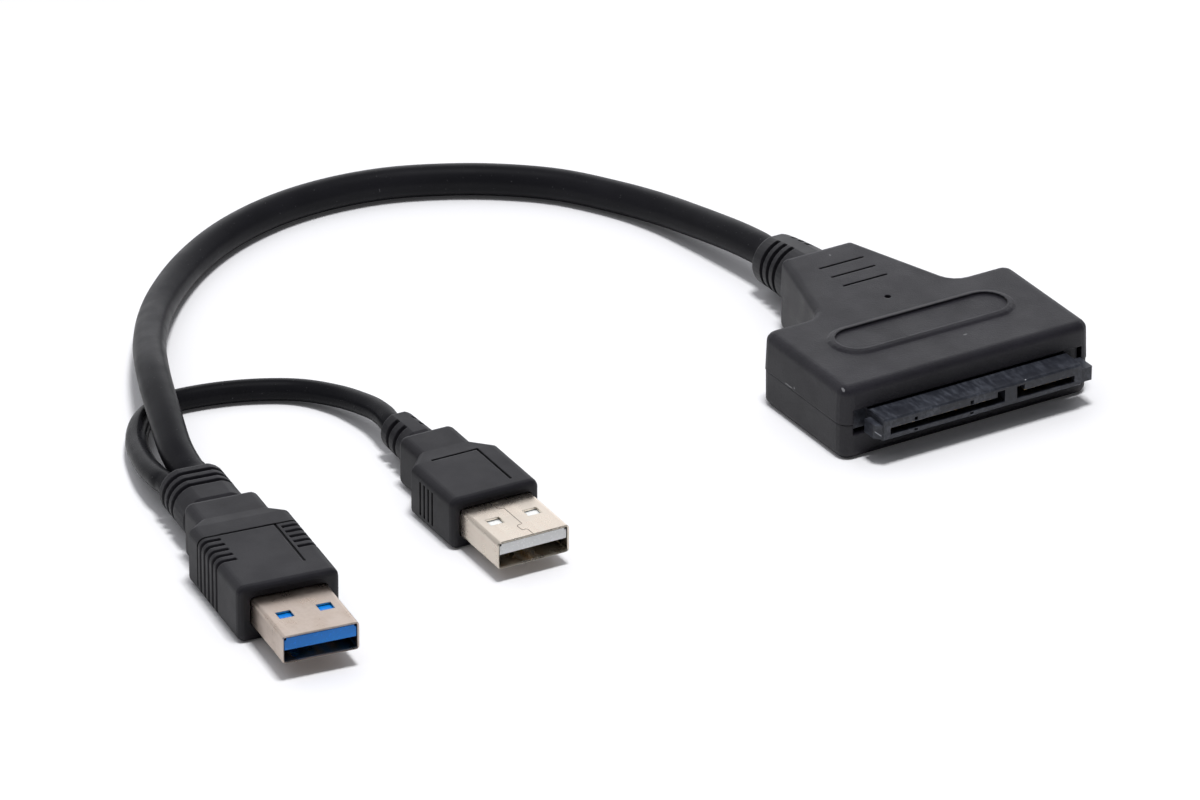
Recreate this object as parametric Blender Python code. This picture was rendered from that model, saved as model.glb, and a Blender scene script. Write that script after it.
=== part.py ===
# A USB to SATA adapter. A two-shell head holds a 22-way receptacle for a disk drive and a small
# circuit board. A thick cord runs from the head to a USB 3 plug, and a thin cord runs on from
# that plug to a USB 2 plug, which only brings extra power.
#
# Metres, +Z up. The head lies flat with its receptacle facing -Y. Lengths along Y are measured
# from the middle of the head's block, and one empty moves the whole adapter so that the middle
# of the head's footprint, from receptacle to strain relief, is the origin.

import math

import bmesh
import bpy
from mathutils import Vector

MM = 0.001

# Fits
SEAT_GAP = 0.3 * MM          # between a piece and what it rests on
SEAM_GAP = 0.12 * MM         # between the two shells, and around what shows at an opening
CUT_OVERRUN = 1.0 * MM       # how far a cutter runs past the face that it opens

# Spring contacts in the receptacle's two slots, and the slots that hold them
CONTACT_PITCH = 1.27 * MM
CONTACT_WIDTH = 0.6 * MM
CONTACT_THICKNESS = 0.22 * MM
POWER_CONTACTS = 15
SIGNAL_CONTACTS = 7
CONTACT_DROP = 0.42 * MM     # of the straight tail below the slot's roof
CONTACT_DIP = 0.3 * MM       # the bow that presses on the drive's tongue
CONTACT_SETBACK = 0.8 * MM   # contact tips behind the nose's front face
CONTACT_BOW_LENGTH = 4.2 * MM
CONTACT_BOW = ((0.0, 0.0), (0.21, 0.7), (0.4, 1.0), (0.64, 0.7), (1.0, 0.0))  # shares of its length and dip
CONTACT_TAIL = 2.2 * MM      # how far it runs over the board
SLOT_MARGIN = 0.76 * MM      # from the middle of the last contact to the end of its slot
KEY_WIDTH = 1.4 * MM         # the notch that makes each slot an L
SLOT_DIVIDER = 2.15 * MM
SLOT_LIP = 0.9 * MM          # material below the slots
SLOT_HEIGHT = 1.15 * MM
KEY_RISE = 0.95 * MM
SLOT_DEPTH = 5.6 * MM
PIT_SIZE = 0.6 * MM
PIT_SPACING = 10.1 * MM
FIRST_PIT = 4.6 * MM         # from the power slot's left end
PIT_COUNT = 2

# Receptacle: nose, flange with two ears in the window, and the guide arms
NOSE_BOTTOM = 4.3 * MM
NOSE_REACH = 4.1 * MM        # how far the nose stands out of the head
NOSE_END_WALL = 1.2 * MM     # material beyond each slot
NOSE_ROOF = 0.65 * MM        # material above the key notches
NOSE_BEVEL = 0.3 * MM
EAR_WIDTH = 2.5 * MM
EAR_LIFT = 0.6 * MM          # the ears' lower edge above the nose's underside
FLANGE_STEP = 0.4 * MM       # the flange's upper edge above the nose's top
FLANGE_SETBACK = 0.9 * MM    # flange face behind the head's front face
FLANGE_DEPTH = 4.0 * MM
ARM_REACH = (1.1 * MM, 2.3 * MM)     # left and right guide arm, out from the side of the nose
ARM_LIFT = 0.3 * MM          # the arms' underside above the nose's underside
ARM_THICKNESS = 2.25 * MM
ARM_OVERLAP = 0.3 * MM       # how far the arms run into the nose
ARM_CHAMFER = (1.0 * MM, 0.2 * MM)   # left and right
ARM_SETBACK = 0.3 * MM       # arm tips behind the nose's front face

# Head shells, built outwards from the receptacle
FLANGE_SIDE_GAP = 0.6 * MM   # between the ears and the end walls
SHELL_WALL = 1.6 * MM
SHELL_SKIN = 1.5 * MM        # top and bottom walls
HEAD_DEPTH = 23.6 * MM
HEAD_HEIGHT = 12.2 * MM
CAVITY_TAPER = 0.3 * MM      # how far the cavity's walls lean in, from the parting line to its end
PARTING_HEIGHT = 6.0 * MM    # where the shells meet, and where the head is widest
PARTING_STEP = 0.1 * MM      # the lower shell's walls stand this far inside the upper shell's
DRAFT = math.tan(math.radians(2.0))
HEAD_CORNER_RADIUS = 2.1 * MM
TOP_EDGE_RADIUS = 1.45 * MM
BOTTOM_EDGE_RADIUS = 1.2 * MM
ARC_STEPS = 4
SMALLEST_RADIUS = 0.15 * MM

# Neck of the head, from the block back to the strain relief
NECK_LENGTH = 19.2 * MM
NECK_ROOT_HALF_WIDTH = 12.4 * MM
NECK_OFFSET = -0.6 * MM      # the neck's end and the strain relief sit a little to the left
NECK_END_RADIUS = 1.3 * MM
NECK_ROOT_RADIUS = 3.0 * MM
NECK_TOP_RADIUS = 1.15 * MM

# Strain relief at the head
RELIEF_LENGTH = 11.4 * MM    # from the neck's end to the tip
RELIEF_WAIST_RADIUS = 3.2 * MM
RELIEF_FLANGE_LIP = 0.7 * MM # how far the inner flange stands out past the waist
RELIEF_FLANGE_THICKNESS = 1.5 * MM
RELIEF_SIDE_GAP = 0.6 * MM   # between the inner flange and the neck's side walls
RELIEF_ROOT_RADIUS = 5.05 * MM
RELIEF_TIP_WALL = 1.7 * MM   # rubber round the cord at the tip
RELIEF_STRIP_HALF = 1.1 * MM # half the smooth strip that breaks the grooves
RELIEF_GROOVE_FIRST = 4.3 * MM
RELIEF_GROOVE_PITCH = 1.95 * MM
RELIEF_GROOVE_COUNT = 3
RELIEF_GROOVE_WIDTH = 0.95 * MM
RELIEF_GROOVE_DEPTH = 0.7 * MM
RELIEF_DROOP = (-0.15 * MM, -0.7 * MM)  # how far the cord has bent its tip to the left and down
NEARLY_ROUND = 0.98          # a section's corner radius as a share of its half width
CROWN_STEP = math.radians(6.0)  # from the edge of the smooth strip to the next point of a section

# Marks on top of the head
PAD_LENGTH = 32.8 * MM
PAD_WIDTH = 9.4 * MM
PAD_RISE = 0.4 * MM
PAD_SLOPE = 1.0 * MM         # how far the pad's edge slopes in
PAD_CROWN = (0.45, 0.7)      # where the slope eases, as shares of its run and its rise
PAD_Y = 1.5 * MM
RECESS_MARGIN = 0.3 * MM     # flat rim between the slope and the recess
RECESS_DEPTH = 0.35 * MM
MARK_X = 0.2 * MM            # the grooves and the lamp hole sit a little off centre
MARK_GROOVE_LENGTH = 8.2 * MM
MARK_GROOVE_WIDTH = 0.42 * MM
MARK_GROOVE_DEPTH = 0.4 * MM
MARK_GROOVE_PITCH = 3.4 * MM
MARK_GROOVE_SETBACK = 6.5 * MM  # the last groove in front of the neck's end
MARK_GROOVE_COUNT = 3
LAMP_HOLE_RADIUS = 0.55 * MM
LAMP_SETBACK = 0.5 * MM      # the lamp hole in front of the block's back

# Circuit board and what is on it
BOARD_THICKNESS = 1.2 * MM
BOARD_MARGIN = 1.0 * MM      # between the board and the cavity's walls
BOARD_TONGUE_SETBACK = 8.2 * MM  # the tongue's end in front of the neck's end
POST_RADIUS = 1.3 * MM
POST_INSET = (2.8 * MM, 3.6 * MM)  # from the board's edges to the middle of a post
BRIDGE_CHIP_SIZE = (7.0 * MM, 7.0 * MM, 0.85 * MM)
BRIDGE_CHIP_AT = (-1.5 * MM, 3.2 * MM)
CRYSTAL_SIZE = (3.2 * MM, 2.5 * MM, 0.8 * MM)
CRYSTAL_AT = (7.4 * MM, 4.4 * MM)
REGULATOR_SIZE = (6.5 * MM, 3.5 * MM, 1.6 * MM)
REGULATOR_AT = (-11.6 * MM, 2.6 * MM)
LAMP_SIZE = (1.6 * MM, 0.8 * MM, 0.7 * MM)

# Cords
MAIN_CORD_DIAMETER = 5.2 * MM
POWER_CORD_DIAMETER = 3.5 * MM
POINTS_PER_DIAMETER = 0.5
CORD_LEAD = 2.0 * MM         # straight length of a cord where it leaves its boot

# Cores of the thick cord, soldered to the board's tongue
CORE_COUNT = 6
CORE_DIAMETER = 0.9 * MM
CORE_BUNDLE_PITCH = 1.08 * MM
CORE_PITCH = 1.4 * MM        # on the board
CORE_LAP = 2.4 * MM          # how far a core reaches over the board
CORE_STEPS = 8

# USB plugs: standard shell, and the parts that both share. Heights are from the shell's axis.
SHELL_WIDTH = 12.0 * MM
SHELL_HEIGHT = 4.5 * MM
SHELL_METAL = 0.3 * MM
SHELL_CORNER = 0.55 * MM
SHELL_LEAD_IN = 0.15 * MM    # the rounded edge of the mouth
SHELL_IN_MOULD = 6.2 * MM    # length of shell held inside the overmould
HOLE_SIZE = (2.3 * MM, 1.9 * MM)
HOLE_X = 3.15 * MM
HOLE_Y = 6.2 * MM
INSULATOR_RECESS = 0.25 * MM # tongue's front edge behind the shell's mouth
INSULATOR_BEVEL = 0.3 * MM
TONGUE_BACK = 9.6 * MM
PIN_WIDTH = 1.0 * MM
PIN_THICKNESS = 0.2 * MM
PIN_FRONT = 1.4 * MM
PIN_SPREAD = (1.0 * MM, 3.5 * MM)  # the inner and outer pins on each side of the middle
PIN3_LENGTH = 4.8 * MM
FAST_PIN_WIDTH = 0.65 * MM
FAST_PIN_PITCH = 1.6 * MM
FAST_PIN_COUNT = 5
FAST_PIN_GAP = 0.7 * MM      # behind the longer pins
FAST_PIN_BOW = 0.35 * MM
MOULD_LIFT = 0.03 * MM       # under the overmoulds, so that they only just touch the table
MOULD_CORNER = 1.3 * MM
MOULD_EDGE_RADIUS = 0.9 * MM
NECK_STEP = 0.15 * MM        # a plug's neck is this much thinner than its body, top and bottom
PANEL_LINE_WIDTH = 0.4 * MM
PANEL_LINE_DEPTH = 0.3 * MM
BOOT_GROOVE_WIDTH = 0.95 * MM
BOOT_GROOVE_DEPTH = 0.6 * MM
BOOT_EDGE_RADIUS = 0.6 * MM
BOOT_ROOT_GAP = 0.5 * MM     # between an overmould's neck and the first ring of its boot
BOOT_ROOT_RISE = 1.2 * MM
BOOT3_CROWN_INNER = 2.4 * MM # inner points of the oval boot's sections
GROOVE_RAMP = 0.12 * MM      # a groove's walls lean by this much

# USB 3 plug, measured back from its mouth
PLUG3_AT = (-121.98 * MM, -27.31 * MM)
PLUG3_YAW = math.radians(-8.0)
PLUG3_TONGUE = 1.95 * MM     # thickness
MOULD3_FRONT = 12.5 * MM
MOULD3_HALF_WIDTH = 8.0 * MM
MOULD3_HALF_HEIGHT = 4.6 * MM
MOULD3_SINK = 0.4 * MM        # the overmould's middle below the shell's axis
MOULD3_BODY = 20.0 * MM      # length of the widest part
MOULD3_SHOULDER = 2.0 * MM
NECK3_LENGTH = 5.9 * MM
NECK3_HALF_WIDTH = 5.8 * MM
BOOT3_LENGTH = 12.0 * MM
BOOT3_SIDE_WALL = 0.4 * MM   # rubber beside the outer cord
BOOT3_ROOF = 1.1 * MM        # rubber above the thick cord
BOOT3_CORD_GAP = 0.3 * MM    # between the two cords
BOOT3_MAIN_SIDE = 1.5 * MM   # the thick cord across the boot
BOOT3_GROOVE_FIRST = 6.2 * MM
BOOT3_GROOVE_PITCH = 1.85 * MM
BOOT3_GROOVE_COUNT = 3
GRIP3_SETBACK = 8.7 * MM     # the first grip groove behind the overmould's front
GRIP3_PITCH = 1.6 * MM
GRIP3_COUNT = 5
GRIP3_WIDTH = 0.75 * MM
GRIP3_DEPTH = 0.42 * MM
GRIP3_INNER = 4.75 * MM      # where the grip grooves end on the top and bottom faces
PANEL3_REAR_GAP = 1.1 * MM   # the panel's rear line behind the last grip groove
PANEL3_FRONT = 4.3 * MM      # the end of its side line behind the overmould's front

# USB 2 plug
PLUG2_AT = (-80.29 * MM, -17.45 * MM)
PLUG2_YAW = math.radians(-2.1)
PLUG2_TONGUE = 1.75 * MM
MOULD2_FRONT = 11.7 * MM
MOULD2_HALF_WIDTH = 7.4 * MM
MOULD2_HALF_HEIGHT = 4.2 * MM
MOULD2_SINK = 0.2 * MM
MOULD2_BODY = 12.8 * MM
MOULD2_SHOULDER = 3.2 * MM
NECK2_LENGTH = 6.2 * MM
NECK2_HALF_WIDTH = 4.65 * MM
BOOT2_LENGTH = 9.0 * MM
BOOT2_WALL = 1.3 * MM         # rubber round the cord at the tip
BOOT2_SWELL = 0.25 * MM      # the boot is this much thicker near its root
BOOT2_GROOVE_FIRST = 4.0 * MM
BOOT2_GROOVE_PITCH = 2.3 * MM
BOOT2_GROOVE_COUNT = 2
BOOT2_STRIP_HALF = 1.1 * MM
SIDE_GROOVE_SETBACK = 6.2 * MM
SIDE_GROOVE_PITCH = 1.25 * MM
SIDE_GROOVE_COUNT = 4
SIDE_GROOVE_WIDTH = 0.5 * MM
SIDE_GROOVE_DEPTH = 0.35 * MM
SIDE_GROOVE_HALF_HEIGHT = 2.8 * MM
PANEL2_BACK = 13.0 * MM      # behind the overmould's front
PANEL2_FRONT = 2.2 * MM
PANEL2_HALF_WIDTH = 3.95 * MM

# Routes, chosen by hand to follow the cords as they lie: X, Y and height of the centre line
MAIN_ROUTE = [
    (-1.0, 47.5, 5.4), (-1.7, 53.0, 5.0), (-2.9, 61.0, 4.1), (-4.7, 69.5, 3.25), (-7.8, 77.4, 2.75),
    (-13.4, 86.1, 2.65), (-20.8, 92.7, 2.65), (-29.0, 97.6, 2.65), (-38.2, 101.1, 2.65),
    (-48.6, 102.3, 2.65), (-59.1, 101.0, 2.65), (-69.9, 96.9, 2.65), (-80.1, 90.0, 2.8),
    (-89.8, 80.1, 3.5), (-98.0, 67.9, 5.2), (-104.2, 55.4, 6.85), (-108.7, 43.8, 6.65),
    (-111.8, 34.8, 5.7), (-112.9, 29.1, 4.9),
]
POWER_ROUTE = [
    (-117.4, 29.9, 4.4), (-116.1, 36.3, 3.4), (-113.0, 44.7, 2.2), (-108.5, 51.1, 1.8),
    (-102.9, 54.1, 1.8), (-97.0, 53.9, 1.8), (-89.7, 51.7, 1.8), (-83.3, 47.7, 1.95),
    (-79.6, 41.6, 2.6), (-78.2, 34.8, 3.6), (-78.2, 30.5, 4.1),
]

# Colours
BLACK_PLASTIC = (0.012, 0.012, 0.013, 1.0)
BLACK_RUBBER = (0.010, 0.010, 0.011, 1.0)
SLATE_PLASTIC = (0.022, 0.027, 0.034, 1.0)
NICKEL = (0.66, 0.61, 0.56, 1.0)
GOLD = (0.80, 0.58, 0.26, 1.0)
USB3_BLUE = (0.010, 0.140, 0.480, 1.0)
WHITE_PLASTIC = (0.82, 0.83, 0.82, 1.0)
BOARD_GREEN = (0.015, 0.110, 0.045, 1.0)
COPPER_RED = (0.45, 0.05, 0.03, 1.0)

# Receptacle, across and up
POWER_LENGTH = (POWER_CONTACTS - 1) * CONTACT_PITCH + 2 * SLOT_MARGIN + KEY_WIDTH
SIGNAL_LENGTH = (SIGNAL_CONTACTS - 1) * CONTACT_PITCH + 2 * SLOT_MARGIN + KEY_WIDTH
SLOTS_HALF_SPAN = (POWER_LENGTH + SLOT_DIVIDER + SIGNAL_LENGTH) / 2
POWER_SLOT = (-SLOTS_HALF_SPAN, -SLOTS_HALF_SPAN + POWER_LENGTH)
SIGNAL_SLOT = (SLOTS_HALF_SPAN - SIGNAL_LENGTH, SLOTS_HALF_SPAN)
NOSE_HALF_WIDTH = SLOTS_HALF_SPAN + NOSE_END_WALL
FLANGE_HALF_WIDTH = NOSE_HALF_WIDTH + EAR_WIDTH
SLOT_BOTTOM = NOSE_BOTTOM + SLOT_LIP
SLOT_TOP = SLOT_BOTTOM + SLOT_HEIGHT
KEY_TOP = SLOT_TOP + KEY_RISE
NOSE_TOP = KEY_TOP + NOSE_ROOF
FLANGE_TOP = NOSE_TOP + FLANGE_STEP
EAR_BOTTOM = NOSE_BOTTOM + EAR_LIFT
CONTACT_HEIGHT = SLOT_TOP - CONTACT_DROP

# Head, from front to back
HEAD_WIDTH = 2 * (FLANGE_HALF_WIDTH + FLANGE_SIDE_GAP + SHELL_WALL)
FRONT = -HEAD_DEPTH / 2
BACK = HEAD_DEPTH / 2
NOSE_FRONT = FRONT - NOSE_REACH
RECEPTACLE_BACK = FRONT + FLANGE_SETBACK + FLANGE_DEPTH
NECK_END = BACK + NECK_LENGTH
RELIEF_END = NECK_END + RELIEF_LENGTH
RELIEF_CENTRE = (NECK_OFFSET, HEAD_HEIGHT / 2)
RELIEF_FLANGE_RADIUS = RELIEF_WAIST_RADIUS + RELIEF_FLANGE_LIP
RELIEF_FLANGE_END = NECK_END - SHELL_WALL - CAVITY_TAPER - SEAT_GAP
RELIEF_TIP_RADIUS = MAIN_CORD_DIAMETER / 2 + RELIEF_TIP_WALL
NECK_END_HALF_WIDTH = RELIEF_FLANGE_RADIUS + RELIEF_SIDE_GAP + CAVITY_TAPER + SHELL_WALL
LAMP_AT = (MARK_X, BACK - LAMP_SETBACK)
ORIGIN_Y = (NOSE_FRONT + RELIEF_END) / 2

# Board
BOARD_TOP = CONTACT_HEIGHT - CONTACT_THICKNESS / 2 - SEAT_GAP
BOARD_BOTTOM = BOARD_TOP - BOARD_THICKNESS
BOARD_FRONT = RECEPTACLE_BACK + SEAT_GAP
BOARD_BACK = BACK - SHELL_WALL - BOARD_MARGIN
BOARD_HALF_WIDTH = HEAD_WIDTH / 2 - SHELL_WALL - CAVITY_TAPER - BOARD_MARGIN
BOARD_TONGUE_HALF_WIDTH = NECK_END_HALF_WIDTH - SHELL_WALL
BOARD_TONGUE_BACK = NECK_END - BOARD_TONGUE_SETBACK

# Plugs
PLUG3_AXIS_HEIGHT = MOULD3_HALF_HEIGHT + MOULD3_SINK + MOULD_LIFT
PLUG2_AXIS_HEIGHT = MOULD2_HALF_HEIGHT + MOULD2_SINK + MOULD_LIFT
PIN_XS = (-PIN_SPREAD[1], -PIN_SPREAD[0], PIN_SPREAD[0], PIN_SPREAD[1])
NECK3_END = MOULD3_FRONT + MOULD3_BODY + MOULD3_SHOULDER + NECK3_LENGTH
BOOT3_END = NECK3_END + BOOT3_LENGTH
CORD_SPACING = (MAIN_CORD_DIAMETER + POWER_CORD_DIAMETER) / 2 + BOOT3_CORD_GAP
BOOT3_POWER_SIDE = BOOT3_MAIN_SIDE - CORD_SPACING
BOOT3_HALF_WIDTH = POWER_CORD_DIAMETER / 2 - BOOT3_POWER_SIDE + BOOT3_SIDE_WALL
BOOT3_HALF_HEIGHT = MAIN_CORD_DIAMETER / 2 + BOOT3_ROOF
NECK2_END = MOULD2_FRONT + MOULD2_BODY + MOULD2_SHOULDER + NECK2_LENGTH
BOOT2_END = NECK2_END + BOOT2_LENGTH
BOOT2_TIP_RADIUS = POWER_CORD_DIAMETER / 2 + BOOT2_WALL


def clear_objects():
    for item in list(bpy.data.objects):
        bpy.data.objects.remove(item, do_unlink=True)


def make_material(name, colour, roughness, metallic=0.0):
    material = bpy.data.materials.new(name)
    material.use_nodes = True
    shader = material.node_tree.nodes["Principled BSDF"]
    shader.inputs["Base Color"].default_value = colour
    shader.inputs["Roughness"].default_value = roughness
    shader.inputs["Metallic"].default_value = metallic
    material.diffuse_color = colour
    return material


def make_empty(name, location, yaw=0.0, parent=None):
    empty = bpy.data.objects.new(name, None)
    bpy.context.collection.objects.link(empty)
    empty.location = location
    empty.rotation_euler[2] = yaw
    empty.parent = parent
    return empty


def add_object(name, mesh_data, parent, material=None, smooth_angle=None):
    """Link a bmesh as a named object, with its faces turned outwards."""
    bmesh.ops.recalc_face_normals(mesh_data, faces=mesh_data.faces)
    mesh = bpy.data.meshes.new(name)
    mesh_data.to_mesh(mesh)
    mesh_data.free()
    item = bpy.data.objects.new(name, mesh)
    bpy.context.collection.objects.link(item)
    item.parent = parent
    if material:
        mesh.materials.append(material)
    if smooth_angle:
        mesh.shade_smooth()
        mesh.set_sharp_from_angle(angle=smooth_angle)
    return item


def boolean(target, tool, operation):
    """Hide the tool solid and let it cut or join the target."""
    tool.hide_render = True
    tool.display_type = "WIRE"
    modifier = target.modifiers.new(tool.name, "BOOLEAN")
    modifier.object = tool
    modifier.operation = operation
    modifier.solver = "EXACT"


def loft(rings):
    """Join rings with equal numbers of points by quads, and cap both ends."""
    mesh_data = bmesh.new()
    rows = [[mesh_data.verts.new(point) for point in ring] for ring in rings]
    for low, high in zip(rows, rows[1:]):
        for i in range(len(low)):
            j = (i + 1) % len(low)
            mesh_data.faces.new((low[i], low[j], high[j], high[i]))
    mesh_data.faces.new(rows[0])
    mesh_data.faces.new(rows[-1])
    return mesh_data


def merge(parts):
    """Put several separate solids into one bmesh."""
    whole = bmesh.new()
    for part in parts:
        mesh = bpy.data.meshes.new("merge")
        part.to_mesh(mesh)
        part.free()
        whole.from_mesh(mesh)
        bpy.data.meshes.remove(mesh)
    return whole


def box(x_range, y_range, z_range):
    (left, right), (front, back) = x_range, y_range
    return prism([(left, front), (right, front), (right, back), (left, back)], z_range)


def centred_box(size, centre, bottom):
    return box((centre[0] - size[0] / 2, centre[0] + size[0] / 2),
               (centre[1] - size[1] / 2, centre[1] + size[1] / 2),
               (bottom, bottom + size[2]))


def prism(outline, z_range):
    """An outline in the XY plane, raised between two heights."""
    return loft([[Vector((x, y, z)) for x, y in outline] for z in z_range])


def prism_along_y(outline, y_range):
    """An outline in the XZ plane, drawn out between two places along Y."""
    return loft([[Vector((x, y, z)) for x, z in outline] for y in y_range])


def circle(radius, centre, steps):
    points = []
    for i in range(steps):
        angle = 2 * math.pi * i / steps
        points.append((centre[0] + radius * math.cos(angle), centre[1] + radius * math.sin(angle)))
    return points


def stadium(length, width, centre, steps=10):
    """A slot outline, long in X."""
    radius = width / 2
    reach = length / 2 - radius
    points = []
    for side in (1, -1):
        for i in range(steps + 1):
            angle = math.pi * (i / steps - side / 2)
            points.append((centre[0] + side * reach + radius * math.cos(angle),
                           centre[1] + radius * math.sin(angle)))
    return points


def filleted_outline(corners, edge_insets, steps=ARC_STEPS):
    """Offset a polygon inwards, each edge by its own amount, and round its corners.

    Corners are (x, y, radius) in anticlockwise order. An outer corner's radius shrinks with the
    offset and an inner corner's grows, so every ring of a loft has the same number of points.
    """
    count = len(corners)
    lines = []
    for i in range(count):
        start = Vector(corners[i][:2])
        end = Vector(corners[(i + 1) % count][:2])
        along = (end - start).normalized()
        inward = Vector((-along.y, along.x))
        lines.append((start + inward * edge_insets[i], along))
    points = []
    for i in range(count):
        (point_a, along_a), (point_b, along_b) = lines[i - 1], lines[i]
        cross = along_a.x * along_b.y - along_a.y * along_b.x
        gap = point_b - point_a
        vertex = point_a + along_a * ((gap.x * along_b.y - gap.y * along_b.x) / cross)
        inset = (edge_insets[i - 1] + edge_insets[i]) / 2
        turn = 1 if cross > 0 else -1
        radius = max(corners[i][2] - turn * inset, SMALLEST_RADIUS)
        half_angle = math.atan2(abs(cross), along_a.dot(along_b)) / 2
        start = vertex - along_a * radius * math.tan(half_angle)
        centre = start + Vector((-along_a.y, along_a.x)) * turn * radius
        spoke = start - centre
        for step in range(steps + 1):
            angle = turn * 2 * half_angle * step / steps
            points.append((centre.x + spoke.x * math.cos(angle) - spoke.y * math.sin(angle),
                           centre.y + spoke.x * math.sin(angle) + spoke.y * math.cos(angle)))
    return points


def head_corners():
    """The head seen from above: the block and the tapered neck behind it."""
    half, corner = HEAD_WIDTH / 2, HEAD_CORNER_RADIUS
    end_right, end_left = NECK_OFFSET + NECK_END_HALF_WIDTH, NECK_OFFSET - NECK_END_HALF_WIDTH
    return [
        (-half, FRONT, corner), (half, FRONT, corner), (half, BACK, corner),
        (NECK_ROOT_HALF_WIDTH, BACK, NECK_ROOT_RADIUS), (end_right, NECK_END, NECK_END_RADIUS),
        (end_left, NECK_END, NECK_END_RADIUS), (-NECK_ROOT_HALF_WIDTH, BACK, NECK_ROOT_RADIUS),
        (-half, BACK, corner),
    ]


NECK_EDGES = (3, 5)


def head_ring(height, extra=0.0):
    """The head's outline at a height, with its draft and its rounded top or bottom edges."""
    insets = []
    for edge in range(len(head_corners())):
        if height > PARTING_HEIGHT:
            radius = NECK_TOP_RADIUS if edge in NECK_EDGES else TOP_EDGE_RADIUS
            to_face = HEAD_HEIGHT - height
        else:
            radius = BOTTOM_EDGE_RADIUS
            to_face = height
        rise = max(radius - to_face, 0.0)
        edge_round = radius - math.sqrt(max(radius * radius - rise * rise, 0.0))
        insets.append(extra + abs(height - PARTING_HEIGHT) * DRAFT + edge_round)
    return [Vector((x, y, height)) for x, y in filleted_outline(head_corners(), insets)]


def edge_heights(radius, steps=5):
    """Distances below a face at which a rounded edge is sampled."""
    return [radius * (1 - math.cos(math.pi / 2 * i / steps)) for i in range(steps + 1)]


def cavity_ring(height, taper=0.0):
    insets = [SHELL_WALL + taper] * len(head_corners())
    return [Vector((x, y, height)) for x, y in filleted_outline(head_corners(), insets)]


def window_cutter():
    """The opening in the head's front wall, shared by both shells."""
    half = FLANGE_HALF_WIDTH + SEAT_GAP
    return box((-half, half), (FRONT - CUT_OVERRUN, FRONT + SHELL_WALL + CUT_OVERRUN),
               (NOSE_BOTTOM - SEAM_GAP, FLANGE_TOP + SEAM_GAP))


def relief_hole_cutter():
    """The round hole in the neck's end wall that grips the strain relief's waist."""
    outline = circle(RELIEF_WAIST_RADIUS + SEAT_GAP, RELIEF_CENTRE, 32)
    return prism_along_y(outline, (NECK_END - SHELL_WALL - CUT_OVERRUN, NECK_END + CUT_OVERRUN))


def build_upper_shell(root, material):
    tops = sorted(set(edge_heights(NECK_TOP_RADIUS) + [TOP_EDGE_RADIUS]))
    rings = [head_ring(HEAD_HEIGHT - depth) for depth in tops]
    rings.append(head_ring(PARTING_HEIGHT + SEAM_GAP / 2))
    rings.append(cavity_ring(PARTING_HEIGHT + SEAM_GAP / 2))
    rings.append(cavity_ring(HEAD_HEIGHT - SHELL_SKIN, CAVITY_TAPER))
    shell = add_object("head_upper_shell", loft(rings), root, material, math.radians(35))

    pad_rings = []
    for rise, run in ((-1.0, 0.0), (0.0, 0.0), (PAD_CROWN[1], PAD_CROWN[0]), (1.0, 1.0)):
        inset = run * PAD_SLOPE
        outline = stadium(PAD_LENGTH - 2 * inset, PAD_WIDTH - 2 * inset, (0.0, PAD_Y))
        pad_rings.append([Vector((x, y, HEAD_HEIGHT + rise * PAD_RISE)) for x, y in outline])
    boolean(shell, add_object("pad_tool", loft(pad_rings), root), "UNION")

    above = HEAD_HEIGHT + PAD_RISE + CUT_OVERRUN
    inset = PAD_SLOPE + RECESS_MARGIN
    recess = stadium(PAD_LENGTH - 2 * inset, PAD_WIDTH - 2 * inset, (0.0, PAD_Y))
    cutters = [prism(recess, (HEAD_HEIGHT + PAD_RISE - RECESS_DEPTH, above))]
    cutters += [window_cutter(), relief_hole_cutter()]
    for i in range(MARK_GROOVE_COUNT):
        y = NECK_END - MARK_GROOVE_SETBACK - i * MARK_GROOVE_PITCH
        outline = stadium(MARK_GROOVE_LENGTH, MARK_GROOVE_WIDTH, (MARK_X, y), steps=3)
        cutters.append(prism(outline, (HEAD_HEIGHT - MARK_GROOVE_DEPTH, above)))
    lamp_hole = circle(LAMP_HOLE_RADIUS, LAMP_AT, 16)
    cutters.append(prism(lamp_hole, (HEAD_HEIGHT - SHELL_SKIN - CUT_OVERRUN, above)))
    boolean(shell, add_object("upper_cutter", merge(cutters), root), "DIFFERENCE")


def build_lower_shell(root, material):
    rings = [head_ring(depth) for depth in edge_heights(BOTTOM_EDGE_RADIUS, steps=4)]
    rings.append(head_ring(PARTING_HEIGHT - SEAM_GAP / 2, PARTING_STEP))
    rings.append(cavity_ring(PARTING_HEIGHT - SEAM_GAP / 2))
    rings.append(cavity_ring(SHELL_SKIN, CAVITY_TAPER))
    shell = add_object("head_lower_shell", loft(rings), root, material, math.radians(35))

    posts = []
    for x in (-BOARD_HALF_WIDTH + POST_INSET[0], BOARD_HALF_WIDTH - POST_INSET[0]):
        for y in (BOARD_FRONT + POST_INSET[1], BOARD_BACK - POST_INSET[1]):
            posts.append(prism(circle(POST_RADIUS, (x, y), 16), (SHELL_SKIN / 2, BOARD_BOTTOM - SEAT_GAP)))
    boolean(shell, add_object("post_tool", merge(posts), root), "UNION")
    cutters = merge([window_cutter(), relief_hole_cutter()])
    boolean(shell, add_object("lower_cutter", cutters, root), "DIFFERENCE")


def slot_outline(slot, key_on_right):
    """An L-shaped slot seen from the front, with its key notch at one end."""
    left, right = slot
    if key_on_right:
        key = right - KEY_WIDTH
        return [(left, SLOT_BOTTOM), (right, SLOT_BOTTOM), (right, KEY_TOP), (key, KEY_TOP),
                (key, SLOT_TOP), (left, SLOT_TOP)]
    key = left + KEY_WIDTH
    return [(left, SLOT_BOTTOM), (right, SLOT_BOTTOM), (right, SLOT_TOP), (key, SLOT_TOP),
            (key, KEY_TOP), (left, KEY_TOP)]


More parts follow.
